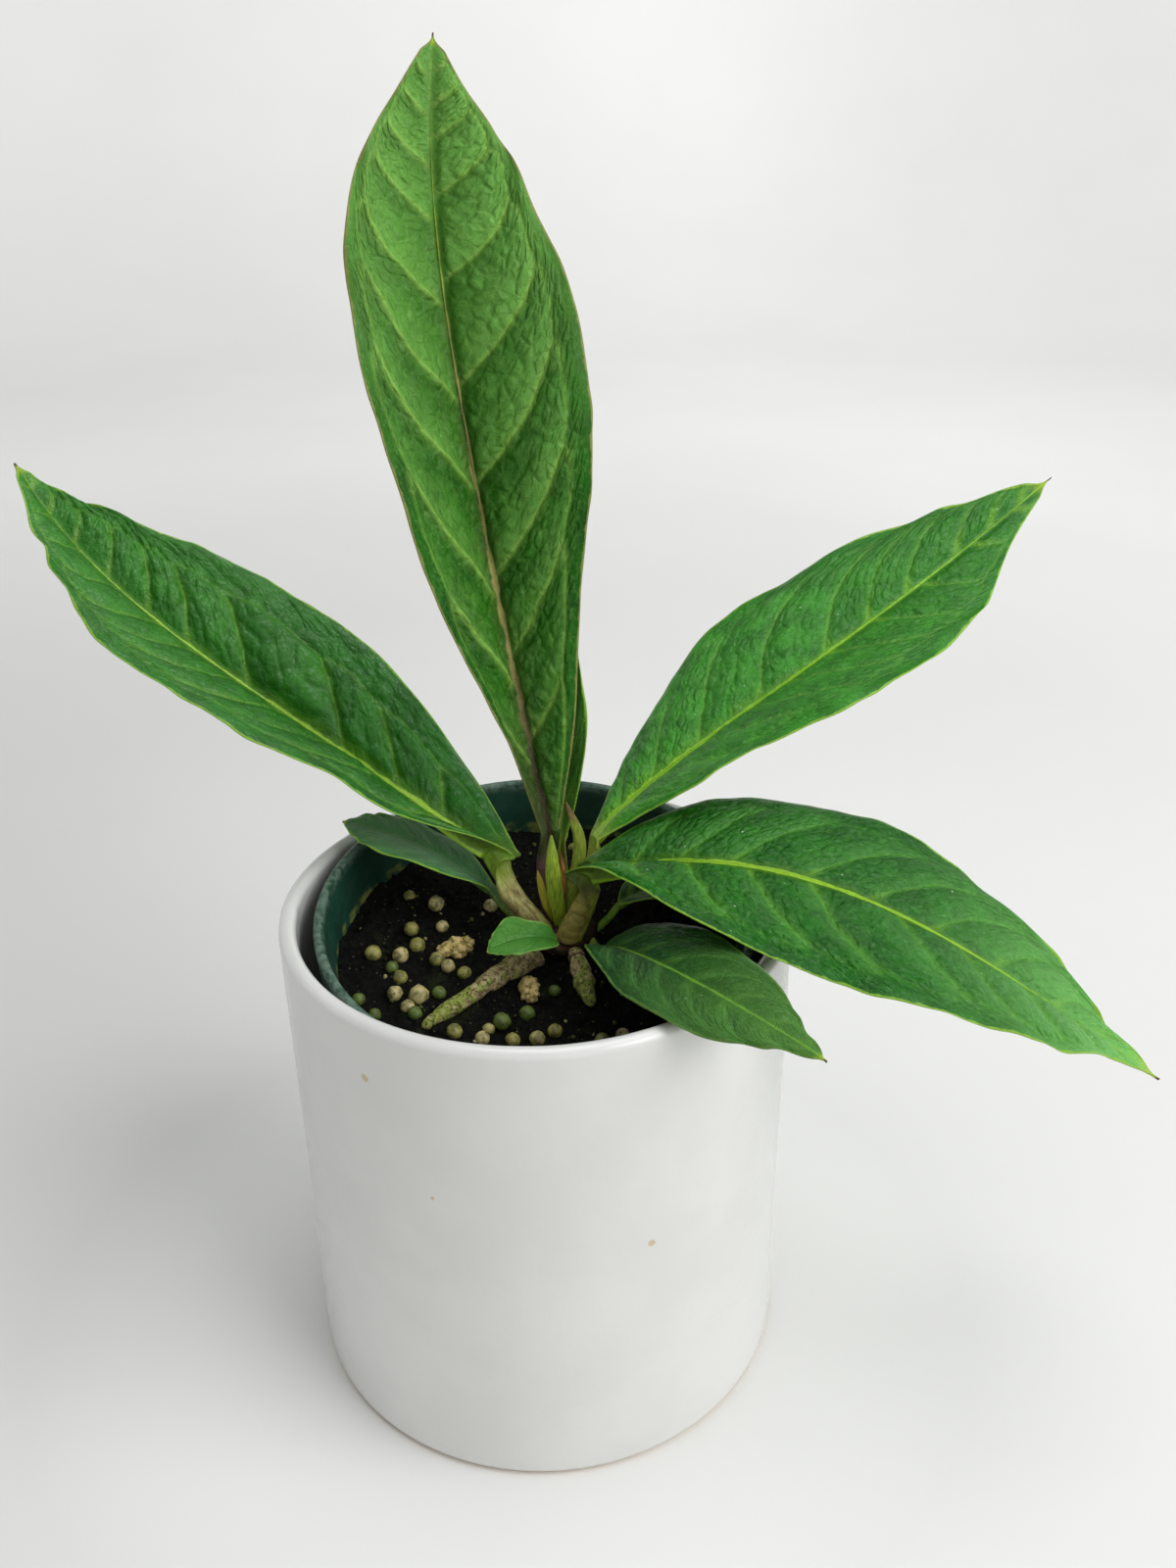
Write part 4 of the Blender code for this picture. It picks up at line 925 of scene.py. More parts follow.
def paint_blade(s, at, look):
    """Mottled green, paler and yellower beside each vein on its lit side and deeper on the other, partly
    the leaf's own colour and partly painted highlight and painted shade.
    """
    s.colour = look["deep"]
    s.coat(s.cloud(at.mm, 0.11, 0.3, 0.7, detail=2.0), look["mid"])
    # Lighter towards the tip: partly the leaf's own colour, partly painted sheen.
    s.coat(s.step(at.along, look["lift_from"], look["lift_from"] + 0.6, 0.0, look["lift"]), look["light"])
    s.coat(s.step(at.along, 0.5, 0.95, 0.0, look["tip_shade"]), look["deep"])
    # Painted highlight beside each vein on its lit side, partly the leaf's own paler, yellower colour.
    pale = s.times(s.step(at.beyond, look["band_reach"], 0.03), at.clear)
    pale = s.times(pale, s.step(at.along, 0.0, 0.5, *look["band_along"]))
    s.coat(s.times(pale, look["band"]), look["light"])
    # Painted shade towards the next vein on the other side, partly the leaf's own deeper green.
    dark = s.times(s.step(at.beyond, 0.55, 0.98), at.clear)
    s.coat(s.times(dark, look["shade"]), look["deep"])
    # Painted shade beside the rib, in the fold between the two halves.
    beside = s.times(s.step(at.off_rib, 9.0, 2.0), halves(s, at, look["beside"]))
    s.coat(s.times(beside, s.step(at.along, 0.75, 0.35)), look["deep"])
    halo = s.times(s.step(at.lateral, 2.6, 0.2), halves(s, at, look["halo"]))
    s.coat(s.times(halo, at.clear), look["vein"])
    s.coat(s.cloud(at.mm, 0.8, 0.45, 0.8, 0.2, detail=4.0), look["light"])
    # Painted highlight on the tops of the puckers.
    for domes in (at.domes, at.small_domes):
        s.coat(s.step(domes, 0.25, 0.9, 0.0, look["dome_highlight"]), look["light"])
    s.coat(s.times(at.net, 0.08), look["light"])
    s.coat(s.times(at.small_crease, look["crease_share"]), look["crease"])
    s.coat(s.times(at.vein, look["vein_share"]), look["vein"])


def paint_underside(s, at, look):
    """The underside is paler and duller, with its lateral veins raised and pale."""
    s.coat(s.times(at.under, 0.75), look["under"])
    s.coat(s.times(s.times(at.under, at.clear), s.step(at.lateral, 1.0, 0.3, 0.0, 0.45)), look["rib"])


def paint_rib(s, at, look):
    """The midrib: narrower towards the tip, grooved, and paler where the lateral veins leave it."""
    uneven = s.step(s.noise(at.mm, 0.16, 2.0), 0.3, 0.7, 0.75, 1.25)
    width = s.times(s.step(at.along, 0.0, 1.0, look["rib_width"], 0.25), uneven)
    parting = s.times(s.step(at.off_rib, 5.5, 0.8), s.step(at.lateral, 1.7, 0.2))
    glow = s.step(at.off_rib, s.times(width, 3.5), width, 0.0, 0.35)
    glow = s.math("MAXIMUM", glow, s.times(parting, 0.55))
    s.coat(s.times(glow, look["rib_glow"]), look["rib"])
    on_rib = s.math("DIVIDE", at.off_rib, width)
    colour = s.mix(s.step(on_rib, 0.5, 0.1), look["rib"], look["rib_groove"])
    if "rib_base" in look:
        colour = s.mix(s.step(at.along, 0.24, 0.04), colour, look["rib_base"])
    if "rib_tip" in look:
        colour = s.mix(s.step(at.along, 0.45, 0.75), colour, look["rib_tip"])
    s.coat(s.step(on_rib, 1.15, 0.75), colour)


def paint_ends(s, at, look):
    """Margin, tip and base of the blade."""
    ragged = s.step(s.noise(at.mm, 0.35, 2.0), 0.3, 0.7, 0.35, 0.8)
    s.coat(s.step(at.edge, ragged, s.times(ragged, 0.4)), look["margin"])
    tip = look["tip_reach"]
    s.coat(s.step(at.along, 1 - tip, 1 - tip / 4, 0.0, 0.85), look["tip"])
    s.coat(s.step(at.along, 0.99, 0.996), DRY_TIP)
    base = s.step(at.along, look["base_reach"], 0.0)
    s.coat(s.times(base, halves(s, at, look["base"])), look["stalk_top"])


def paint_stalk(s, at, look):
    colour = s.mix(s.cloud(at.mm, 0.5, 0.35, 0.7), look["stalk"], look["stalk_dark"])
    colour = s.mix(s.step(at.stalk, 0.5, 0.15), colour, look["stalk_top"])
    flank = s.times(s.times(at.under, s.step(at.off_middle, 0.85, 0.5)), s.step(at.stalk, 0.2, 0.4))
    colour = s.mix(flank, colour, look["flank"])
    freckles = s.times(s.dots(at.mm, 0.9, 0.22, 0.12), s.cloud(at.mm, 0.3, 0.45, 0.6))
    colour = s.mix(s.times(freckles, 0.5), colour, look["stalk_dark"])
    s.coat(s.step(at.stalk, 0.0, 0.22), colour)


def leaf_height(s, at, look):
    """Fine wrinkles that run along the lateral veins, with a grain and the creases."""
    down = s.times(s.plus(at.x, at.off_rib), WRINKLES_ALONG)
    over = s.times(at.phase, WRINKLES_ACROSS)
    folded = s.node("ShaderNodeCombineXYZ", {0: down, 1: over, 2: at.right_half}).outputs[0]
    wrinkles = s.step(s.cells(s.shaken(folded, at.mm, 0.12), 1.0, "DISTANCE_TO_EDGE"), 0.0, 0.3)
    wrinkles = s.times(s.times(wrinkles, at.inner), look["wrinkle"])
    height = s.plus(s.times(at.net, -0.5), s.times(s.noise(at.mm, 3.2), 0.35))
    height = s.math("SUBTRACT", height, s.times(at.small_crease, 0.5))
    return s.plus(height, wrinkles)


def leaf_material(name, look):
    """A quilted leaf from its blade to its stalk, with pale specks."""
    s = Shader(name)
    at = leaf_places(s, look["lit_side"])
    for paint in (paint_blade, paint_underside, paint_rib, paint_ends, paint_stalk):
        paint(s, at, look)
    specks = s.times(s.dots(at.mm, 0.22, 0.075, 0.045), s.cloud(at.mm, 0.06, 0.48, 0.62))
    s.coat(s.times(specks, look["specks"]), PALE_SPECK)
    rough = look["roughness"]
    shine = s.step(s.noise(at.mm, 0.3), 0.3, 0.7, rough - 0.05, rough + 0.08)
    bump = s.bumped(leaf_height(s, at, look), 0.16)
    return s.finish(Roughness=shine, Normal=bump, Specular_IOR_Level=look["gloss"])


# Colours that all leaves share
DRY_TIP = (96, 74, 52)
PALE_SPECK = (196, 205, 188)

# How the leaves are coloured: one look for all of them, and what each leaf changes in it. A pair of plain
# numbers is a strength on the left and on the right half; band_along is one at the base and one at the tip.
# band and shade are painted highlight and painted shade beside the veins, partly the leaf's own colour;
# lift is partly painted sheen; the strengths for the pucker tops and beside the rib are painted light.
GREEN = dict(
    deep=(18, 74, 2), mid=(36, 104, 10), light=(84, 148, 42), vein=(112, 168, 62), crease=(70, 132, 40),
    under=(92, 116, 44), rib=(150, 188, 52), rib_groove=(124, 170, 36), margin=(128, 172, 56),
    tip=(150, 178, 36), stalk=(136, 142, 62), stalk_dark=(104, 108, 48), stalk_top=(136, 142, 62),
    flank=(136, 142, 62), lit_side=1, band=0.25, band_reach=0.55, shade=0.3, beside=(0.0, 0.0),
    halo=(0.05, 0.05), lift=0.3, lift_from=0.1, dome_highlight=0.12, crease_share=0.15, vein_share=0.35,
    rib_width=1.35, rib_glow=0.6, base=(0.35, 0.35), base_reach=0.06, tip_reach=0.035, roughness=0.36,
    gloss=0.25, specks=0.15, band_along=(1.0, 1.0), wrinkle=0.8, tip_shade=0.0)
LOOKS = {
    "leaf_tall": dict(
        deep=(10, 66, 0), mid=(24, 90, 2), light=(118, 174, 78), vein=(146, 190, 84), rib=(158, 152, 92),
        rib_groove=(128, 110, 76), rib_tip=(150, 180, 56), rib_width=1.7, rib_base=(92, 78, 62),
        rib_glow=0.2, band_along=(0.3, 1.0), wrinkle=2.2, margin=(128, 132, 72), stalk=(104, 78, 82),
        stalk_dark=(72, 52, 48), stalk_top=(60, 64, 38), flank=(92, 66, 66), band=0.4, band_reach=0.8,
        shade=0.4, beside=(0.1, 0.5), halo=(0.1, 0.08), lift=0.52, lift_from=0.3, crease_share=0.2,
        vein_share=0.5, base=(0.85, 0.2), base_reach=0.16, tip_reach=0.025, gloss=0.15),
    "leaf_left": dict(
        deep=(10, 78, 0), mid=(24, 106, 4), light=(86, 160, 62), vein=(140, 194, 66), crease=(84, 148, 56),
        rib=(160, 204, 66), rib_groove=(138, 188, 52), rib_width=1.45, rib_glow=0.5, stalk=(168, 162, 98),
        stalk_dark=(118, 104, 58), stalk_top=(134, 160, 50), flank=(156, 152, 84), band=0.2, band_reach=0.7,
        shade=0.5, halo=(0.06, 0.03), vein_share=0.3, wrinkle=1.2, roughness=0.3, gloss=0.36, lift=0.24,
        base_reach=0.04),
    "leaf_right": dict(
        deep=(24, 98, 6), mid=(46, 132, 20), light=(100, 168, 72), vein=(140, 196, 80),
        crease=(96, 160, 70), rib=(138, 192, 40), rib_groove=(116, 174, 28), rib_width=1.5,
        stalk=(176, 180, 84), stalk_top=(176, 190, 80), flank=(176, 184, 84), lit_side=-1, band=0.16,
        band_reach=0.7, shade=0.2, halo=(0.02, 0.02), lift=0.0, vein_share=0.2, specks=0.5,
        band_along=(1.3, 0.2), wrinkle=1.4, tip_shade=0.75, base=(0.5, 0.5)),
    "leaf_arching": dict(
        deep=(4, 70, 0), mid=(12, 90, 2), light=(114, 186, 90), vein=(108, 174, 56), rib=(138, 182, 44),
        rib_groove=(122, 168, 38), rib_width=1.0, rib_glow=0.4, wrinkle=1.8, stalk=(154, 146, 72),
        stalk_dark=(112, 102, 52), stalk_top=(98, 102, 54), flank=(166, 178, 62), lit_side=-1, band=0.14,
        band_reach=0.6, halo=(0.0, 0.16), lift=0.95, lift_from=0.5, dome_highlight=0.05, gloss=0.2, specks=0.85,
        tip_reach=0.05, vein_share=0.2),
    "leaf_small_left": dict(
        deep=(50, 108, 52), mid=(72, 132, 74), light=(98, 142, 94), rib=(92, 134, 70),
        rib_groove=(82, 124, 60), stalk=(110, 138, 50), stalk_top=(92, 130, 56), rib_width=0.5,
        vein=(104, 146, 92), crease=(90, 132, 82), band=0.3, gloss=0.35, rib_glow=0.2),
    "leaf_small_front": dict(
        deep=(2, 44, 10), mid=(6, 60, 16), light=(84, 140, 52), rib=(104, 156, 50),
        rib_groove=(84, 138, 40), stalk=(160, 176, 60), stalk_top=(150, 168, 60), rib_width=0.6,
        vein=(88, 142, 66), crease=(56, 108, 46), margin=(84, 124, 50), band=0.1, lit_side=-1, rib_glow=0.3,
        lift=0.6, lift_from=0.35, vein_share=0.2),
    "leaf_narrow_back": dict(
        deep=(44, 100, 28), mid=(64, 122, 44), light=(88, 144, 62), rib_width=0.6, band=0.2),
    "leaf_small_right": dict(
        deep=(22, 66, 24), mid=(40, 88, 40), light=(70, 116, 62), rib_width=0.45, stalk=(140, 184, 58),
        stalk_dark=(120, 164, 48), stalk_top=(140, 184, 58), flank=(140, 184, 58), band=0.2),
    "leaf_small_folded": dict(
        deep=(48, 108, 30), mid=(64, 128, 40), light=(88, 146, 58), rib_width=0.3, rib=(78, 130, 44),
        rib_groove=(74, 126, 42), vein=(84, 140, 54), crease=(70, 130, 46), stalk=(150, 148, 70), band=0.1,
        shade=0.15, margin=(116, 160, 70), halo=(0.0, 0.0), rib_glow=0.3),
}


# Sheaths, stem and roots

def sheath_piece(name, sheath, finish):
    """A bud sheath: flat oval rings along a curve, pointed at the tip and lightly ribbed."""
    foot = tuple(stem_frame() @ Vector((*sheath["foot"], GAP)))
    path = smooth_path((foot,) + sheath["path"], SHEATH_RINGS)
    ways = path_ways(path)
    facing = math.radians(sheath["facing"])
    rings, shares = [], []
    for k, place in enumerate(path):
        share = k / (len(path) - 1)
        swell = (0.75 + 0.9 * share) * (1 - share**2.2) + 0.12
        front = np.array([math.cos(facing), math.sin(facing), 0.0])
        front = unit(front - (front @ ways[k]) * ways[k])
        side = np.cross(front, ways[k])
        ring = []
        for s in range(SHEATH_SIDES):
            angle = 2 * math.pi * s / SHEATH_SIDES
            rib = 1 + 0.035 * math.sin(11 * angle) + 0.02 * math.sin(23 * share + 3 * angle)
            wide = sheath["half_width"] * swell * math.cos(angle) * rib
            deep = sheath["half_thickness"] * swell * math.sin(angle) * rib
            ring.append(place + side * wide + front * deep)
        rings.append(ring)
        shares += [(share, 0.0, 0.0)] * SHEATH_SIDES
    points, faces = tube(rings)
    return piece(name + "_skin", points, faces, finish, name, {"growth": shares}, 50)


def sheath_material(name, body, dark, tip):
    s = Shader(name)
    _, share, _, _ = s.attribute("growth")
    place = s.millimetres()
    streaks = s.stretched(place, (3.0, 3.0, 0.35))
    s.colour = body
    s.coat(s.cloud(streaks, 0.9, 0.35, 0.7, detail=4.0), dark)
    wandering = s.plus(share, s.times(s.noise(place, 0.6), 0.5))
    s.coat(s.step(wandering, 1.02, 1.2), tip)
    bump = s.bumped(s.noise(streaks, 1.6), 0.12)
    return s.finish(Roughness=0.55, Normal=bump)


# Body, streaks and tip of each sheath
SHEATH_COLOURS = {
    "sheath_front": ((150, 176, 44), (96, 124, 26), (122, 146, 44)),
    "sheath_right": ((132, 150, 44), (92, 108, 30), (104, 72, 44)),
    "sheath_small": ((178, 170, 50), (146, 140, 40), (150, 132, 52)),
    "sheath_dry": ((170, 112, 56), (104, 66, 36), (120, 74, 40)),
}


def root_piece(name, root, finish):
    """An aerial root with low rings, knobs and a blunt tip; the front one has a scar."""
    path = smooth_path(root["points"], ROOT_RINGS)
    shares = np.linspace(0, 1, ROOT_RINGS)
    radii = eased(root["radii"], shares)
    ways = path_ways(path)
    side = unit(np.cross(ways, (0, 0, 1)))
    up = np.cross(side, ways)
    angles = 2 * np.pi * np.arange(ROOT_SIDES) / ROOT_SIDES
    scarred = float(name == "root_front")
    rings, growth = [], []
    for k, share in enumerate(shares):
        round_end = math.sqrt(max(0.05, 1 - max(0.0, (share - 0.93) / 0.07)**2))
        lump = 1 + 0.07 * math.sin(2.3 * share * 11 + len(name))
        lump -= 0.16 * scarred * math.exp(-((share - SCAR_AT) / 0.03)**2)
        lump = lump + 0.09 * field(share * 14, angles * 1.3, 3)
        lump = lump + 0.05 * field(share * 40, angles * 4, 8)
        reach = radii[k] * lump * round_end
        across = np.outer(reach * np.cos(angles), side[k]) + np.outer(reach * np.sin(angles), up[k])
        rings.append(path[k] + across)
        scar = scarred * math.exp(-((share - SCAR_AT) / 0.025)**2)
        growth += [(share, math.sin(a), scar) for a in angles]
    points, faces = tube(rings)
    return piece(name + "_skin", points, faces, finish, name, {"growth": growth}, 60)


def root_hairs_piece(name, root, finish):
    """Short fine hairs round the thick part of an aerial root, each a thin three-sided spike."""
    draw = random.Random(SEED)
    path = smooth_path(root["points"], ROOT_RINGS)
    radii = eased(root["radii"], np.linspace(0, 1, ROOT_RINGS))
    points, faces = [], []
    for _ in range(root["hairs"]):
        k = draw.randrange(6, 70)
        way = Vector(path[k + 1] - path[k - 1]).normalized()
        side = way.cross(Vector((0, 0, 1))).normalized()
        up = side.cross(way)
        angle = math.radians(draw.uniform(-215, 35))
        out = math.cos(angle) * side + math.sin(angle) * up
        foot = Vector(path[k]) + out * radii[k] * 0.9
        bend = Vector([draw.uniform(-0.5, 0.5) for _ in range(3)])
        tip = foot + (out + bend).normalized() * draw.uniform(0.5, 1.5)
        a = len(points)
        for turn in range(3):
            around = math.radians(120 * turn)
            points.append(foot + HAIR_RADIUS * (math.cos(around) * way + math.sin(around) * up))
        points.append(tip)
        faces += [(a, a + 1, a + 3), (a + 1, a + 2, a + 3), (a + 2, a, a + 3), (a + 2, a + 1, a)]
    # The hairs count as facing down, so they take the strongest painted shade.
    growth = [(0.2, -1.0, 0.0)] * len(points)
    return piece(name + "_hairs", points, faces, finish, name, {"growth": growth}, 60)


def root_material():
    """Tan and beige skin with dark flecks, yellow-green moss towards the tip, and a scar ring; painted
    shade darkens the side that faces down.
    """
    s = Shader("root_skin")
    _, share, upness, scarred = s.attribute("growth")
    place = s.millimetres()
    s.colour = (122, 106, 70)
    s.coat(s.cloud(place, 0.7, 0.35, 0.65, detail=4.0), (186, 172, 126))
    # Painted shade: darker on the side that faces down.
    s.coat(s.step(upness, 0.1, -0.6, 0.0, 0.45), (84, 70, 46))
    algae = s.plus(s.noise(place, 0.45, 4.0), s.times(upness, 0.08))
    algae = s.plus(algae, s.step(share, 0.35, 0.75, 0.0, 0.16))
    s.coat(s.step(algae, 0.58, 0.68, 0.0, 0.8), (122, 140, 50))
    s.coat(s.cloud(place, 1.1, 0.5, 0.62, 0.75, detail=4.0), (58, 56, 28))
    s.coat(s.cloud(place, 0.4, 0.56, 0.66, 0.6, detail=4.0), (196, 184, 130))
    s.coat(s.dots(place, 1.1, 0.3, 0.14, 0.85), (34, 32, 16))
    s.coat(s.times(scarred, 0.85), (62, 30, 22))
    bump = s.bumped(s.noise(place, 1.4, 4.0), 0.35)
    return s.finish(Roughness=0.85, Normal=bump, Specular_IOR_Level=0.2)


def stem_piece(finish):
    """The short stem, rough with old leaf scars."""
    low, radius, crown = -STEM_DEPTH, STEM_RADIUS, STEM_CROWN_RADIUS
    profile = [(0.0, low), (radius * 0.62, low)]
    profile += line((radius * 0.62, low), (radius * 0.9, low * 0.6), 10)
    profile += line((radius * 0.9, low * 0.6), (radius, -4.0), 14)
    profile += line((radius, -4.0), (crown, -2.6), 6) + line((crown, -2.6), (crown, -0.6), 6)
    profile += line((crown, -0.6), (crown - 0.8, 0.0), 4) + line((crown - 0.8, 0.0), (1.0, 0.0), 16)
    profile += [(0.0, 0.0)]
    points, faces = turned(profile, STEM_SIDES)
    shaped = []
    for x, y, z in points:
        reach = math.hypot(x, y)
        angle = math.atan2(y, x)
        rough = 0.3 * float(field(angle * 5, z * 1.1, 6)) + 0.14 * float(field(angle * 14, z * 3, 7))
        rough -= 0.2 * (math.sin(z * 2.4 + 0.6 * math.sin(angle * 2)) > 0.8)
        scale = (reach + rough * min(1.0, reach / 4)) / reach if reach else 1.0
        shaped.append((x * scale, y * scale, z + 0.15 * float(field(x, y, 2)) * (z > -0.7)))
    return piece("stem_bark", placed(shaped, stem_frame()), faces, finish, "stem")


def bark_material():
    s = Shader("stem_bark")
    place = s.millimetres()
    fibres = s.stretched(place, (2.4, 2.4, 0.7))
    # Dark bark, made near-black as painted shade where the stem sits under the leaves.
    s.colour = (26, 16, 11)
    s.coat(s.cloud(fibres, 0.8, 0.35, 0.7, detail=5.0), (84, 44, 30))
    s.coat(s.cloud(place, 0.35, 0.56, 0.7, 0.7), (78, 84, 36))
    return s.finish(Roughness=0.9, Normal=s.bumped(s.noise(fibres, 1.5, 5.0), 0.5))


# Pots

def cachepot_piece(finish):
    inner = CACHEPOT_RADIUS - CACHEPOT_WALL
    lip = CACHEPOT_WALL / 2
    foot = CACHEPOT_FOOT_ROUND
    outside, top = CACHEPOT_RADIUS, CACHEPOT_HEIGHT - lip
    profile = [(0.0, 0.0)] + line((FLOOR_RING, 0.0), (outside - foot, 0.0), 5)
    profile += arc((outside - foot, foot), foot, -90, 0, 10)
    profile += line((outside, foot), (outside, top), 40)[1:]
    profile += arc((outside - lip, top), lip, 0, 180, 20)
    profile += line((inner, top), (inner, CACHEPOT_FLOOR + foot), 16)[1:]
    profile += arc((inner - foot, CACHEPOT_FLOOR + foot), foot, 0, -90, 8)
    profile += line((inner - foot, CACHEPOT_FLOOR), (FLOOR_RING, CACHEPOT_FLOOR), 5)[1:]
    profile += [(0.0, CACHEPOT_FLOOR)]
    points, faces = turned(profile, CACHEPOT_SIDES)
    points = np.array(points)
    angle = np.arctan2(points[:, 1], points[:, 0])
    height = points[:, 2]
    uneven = 0.12 * field(angle * 1.6 + 9, height / 38, 21) + 0.03 * field(angle * 9 + 30, height / 9, 22)
    reach = np.maximum(np.hypot(points[:, 0], points[:, 1]), 1e-6)
    level = np.clip(height / 8, 0, 1)
    points[:, :2] *= (1 + uneven * level * (reach > 20) / reach)[:, None]
    return piece("cachepot_glazed", points, faces, finish, "cachepot")


# Chips in the glaze: place and size in mm
CHIPS = ((-37.1, -47.1, 109.9, 0.8), (22.7, -55.6, 68.3, 0.7), (-24.3, -54.9, 83.5, 0.3))


def glaze_material():
    """White glaze with a faint orange peel, small chips that show the clay, and a bare ring at the foot."""
    s = Shader("white_glaze")
    place = s.millimetres()
    parts = s.node("ShaderNodeSeparateXYZ", {0: place})
    height = parts.outputs[2]
    cloud = s.noise(place, 0.03)
    s.colour = (207, 207, 204)
    s.coat(s.step(cloud, 0.3, 0.7), (213, 213, 210))
    rough_edge = s.times(s.noise(place, 1.1), 0.9)
    clay = s.mix(s.noise(place, 1.5), (176, 150, 108), (206, 188, 152))
    for x, y, z, size in CHIPS:
        chip = {0: place, 1: (x, y, z)}
        away = s.node("ShaderNodeVectorMath", chip, operation="DISTANCE").outputs["Value"]
        away = s.plus(away, rough_edge)
        s.coat(s.step(away, size + 0.75, size + 0.45, 0.0, 0.9), clay)
    bare = s.step(s.math("SUBTRACT", height, s.times(s.noise(place, 0.25), 1.2)), 0.75, 0.35)
    s.coat(bare, clay)
    peel = s.plus(s.noise(place, 0.5, 2.0), s.times(s.noise(place, 0.09, 2.0), 2.0))
    shine = s.step(bare, 0.0, 1.0, 0.22, 0.8)
    return s.finish(Roughness=shine, Normal=s.bumped(peel, 0.05), Coat_Weight=0.35,
                    Coat_Roughness=0.12)


def nursery_piece(finish):
    height, band, rim, base = nursery_height(), NURSERY_RIM_BAND, NURSERY_RIM_RADIUS, NURSERY_BASE_RADIUS
    floor = -height + NURSERY_WALL
    lip = NURSERY_RIM_WALL / 2
    under_band = rim - NURSERY_STEP - 1.0
    taper = rim - NURSERY_RIM_TAPER
    profile = [(0.0, -height)] + line((FLOOR_RING, -height), (base - 1.0, -height), 5)
    profile += line((base - 1.0, -height), (base, -height + 1.0), 3)
    profile += line((base, -height + 1.0), (under_band, -band - 1.0), 24)
    profile += line((under_band, -band - 1.0), (taper, -band), 3) + line((taper, -band), (rim, -lip), 8)
    profile += arc((rim - lip, -lip), lip, 0, 180, 12)
    inside_band = nursery_inside(band)
    inside_floor = nursery_inside(height - NURSERY_WALL)
    profile += line((rim - NURSERY_RIM_WALL, -lip), (inside_band, -band), 8)[1:]
    profile += line((inside_band, -band), (inside_floor, floor), 30)
    profile += line((inside_floor, floor), (FLOOR_RING, floor), 5) + [(0.0, floor)]
    points, faces = turned(profile, NURSERY_SIDES)
    points = placed(points, nursery_frame())
    cut_holes(piece("nursery_pot_plastic", points, faces, finish, "nursery_pot",
                    smooth_angle=35))


def cut_holes(obj):
    """Cuts the drain holes through the nursery pot's floor."""
    plugs = bpy.data.collections.new("drain_plugs")
    bpy.context.scene.collection.children.link(plugs)
    made = []
    for k in range(DRAIN_HOLES):
        angle = 2 * math.pi * k / DRAIN_HOLES + math.pi / 2
        low, high, radius = -DRAIN_PLUG_REACH, DRAIN_PLUG_REACH, DRAIN_HOLE_RADIUS
        profile = [(0.0, low), (radius, low), (radius, high), (0.0, high)]
        points, faces = turned(profile, DRAIN_PLUG_SIDES)
        shift = (DRAIN_HOLE_RING * math.cos(angle), DRAIN_HOLE_RING * math.sin(angle), -nursery_height())
        mesh = bpy.data.meshes.new("drain_plug")
        where = nursery_frame() @ Matrix.Translation(shift)
        mesh.from_pydata(np.array(placed(points, where)) * MM, [], faces)
        plug = bpy.data.objects.new("drain_plug", mesh)
        plugs.objects.link(plug)
        made.append(plug)
    cutter = obj.modifiers.new("drain", "BOOLEAN")
    cutter.operation = "DIFFERENCE"
    cutter.solver = "EXACT"
    cutter.operand_type = "COLLECTION"
    cutter.collection = plugs
    bpy.context.view_layer.update()
    result = bpy.data.meshes.new_from_object(obj.evaluated_get(bpy.context.evaluated_depsgraph_get()))
    obj.modifiers.clear()
    obj.data = result
    for plug in made:
        bpy.data.objects.remove(plug, do_unlink=True)
    bpy.data.collections.remove(plugs)


def in_nursery_frame(s):
    """Coordinates in millimetres in the nursery pot's own frame: height is measured from its rim."""
    centre = tuple(-c for c in NURSERY_RIM_CENTRE)
    moved = s.node("ShaderNodeVectorMath", {0: s.millimetres(), 1: centre}, operation="ADD").outputs[0]
    turned_back = {"Vector": moved, "Angle": math.radians(-NURSERY_LEAN), "Axis": (1.0, 0.0, 0.0)}
    vector = s.node("ShaderNodeVectorRotate", turned_back).outputs[0]
    return vector, s.node("ShaderNodeSeparateXYZ", {0: vector}).outputs[2]


def plastic_material():
    """Dark green plastic, scuffed paler on the rim, with an algae line where the soil meets it."""
    s = Shader("green_plastic")
    place, height = in_nursery_frame(s)
    s.colour = (15, 50, 37)
    s.coat(s.cloud(place, 0.08, 0.3, 0.7), (24, 64, 50))
    scuffs = s.times(s.step(height, -3.0, -0.6), s.cloud(place, 0.5, 0.3, 0.65, detail=4.0))
    s.coat(s.times(scuffs, 0.75), (104, 128, 112))
    line_height = s.plus(height, s.times(s.noise(place, 0.3, 4.0), 3.5))
    algae = s.times(s.step(line_height, -9.6, -11.2), s.cloud(place, 0.22, 0.42, 0.6, detail=4.0))
    s.coat(s.times(algae, 0.85), (116, 122, 52))
    bump = s.bumped(s.noise(place, 1.2, 4.0), 0.08)
    shine = s.step(s.noise(place, 0.3, 4.0), 0.3, 0.7, 0.38, 0.55)
    return s.finish(Roughness=shine, Normal=bump)


# Soil and what lies on it

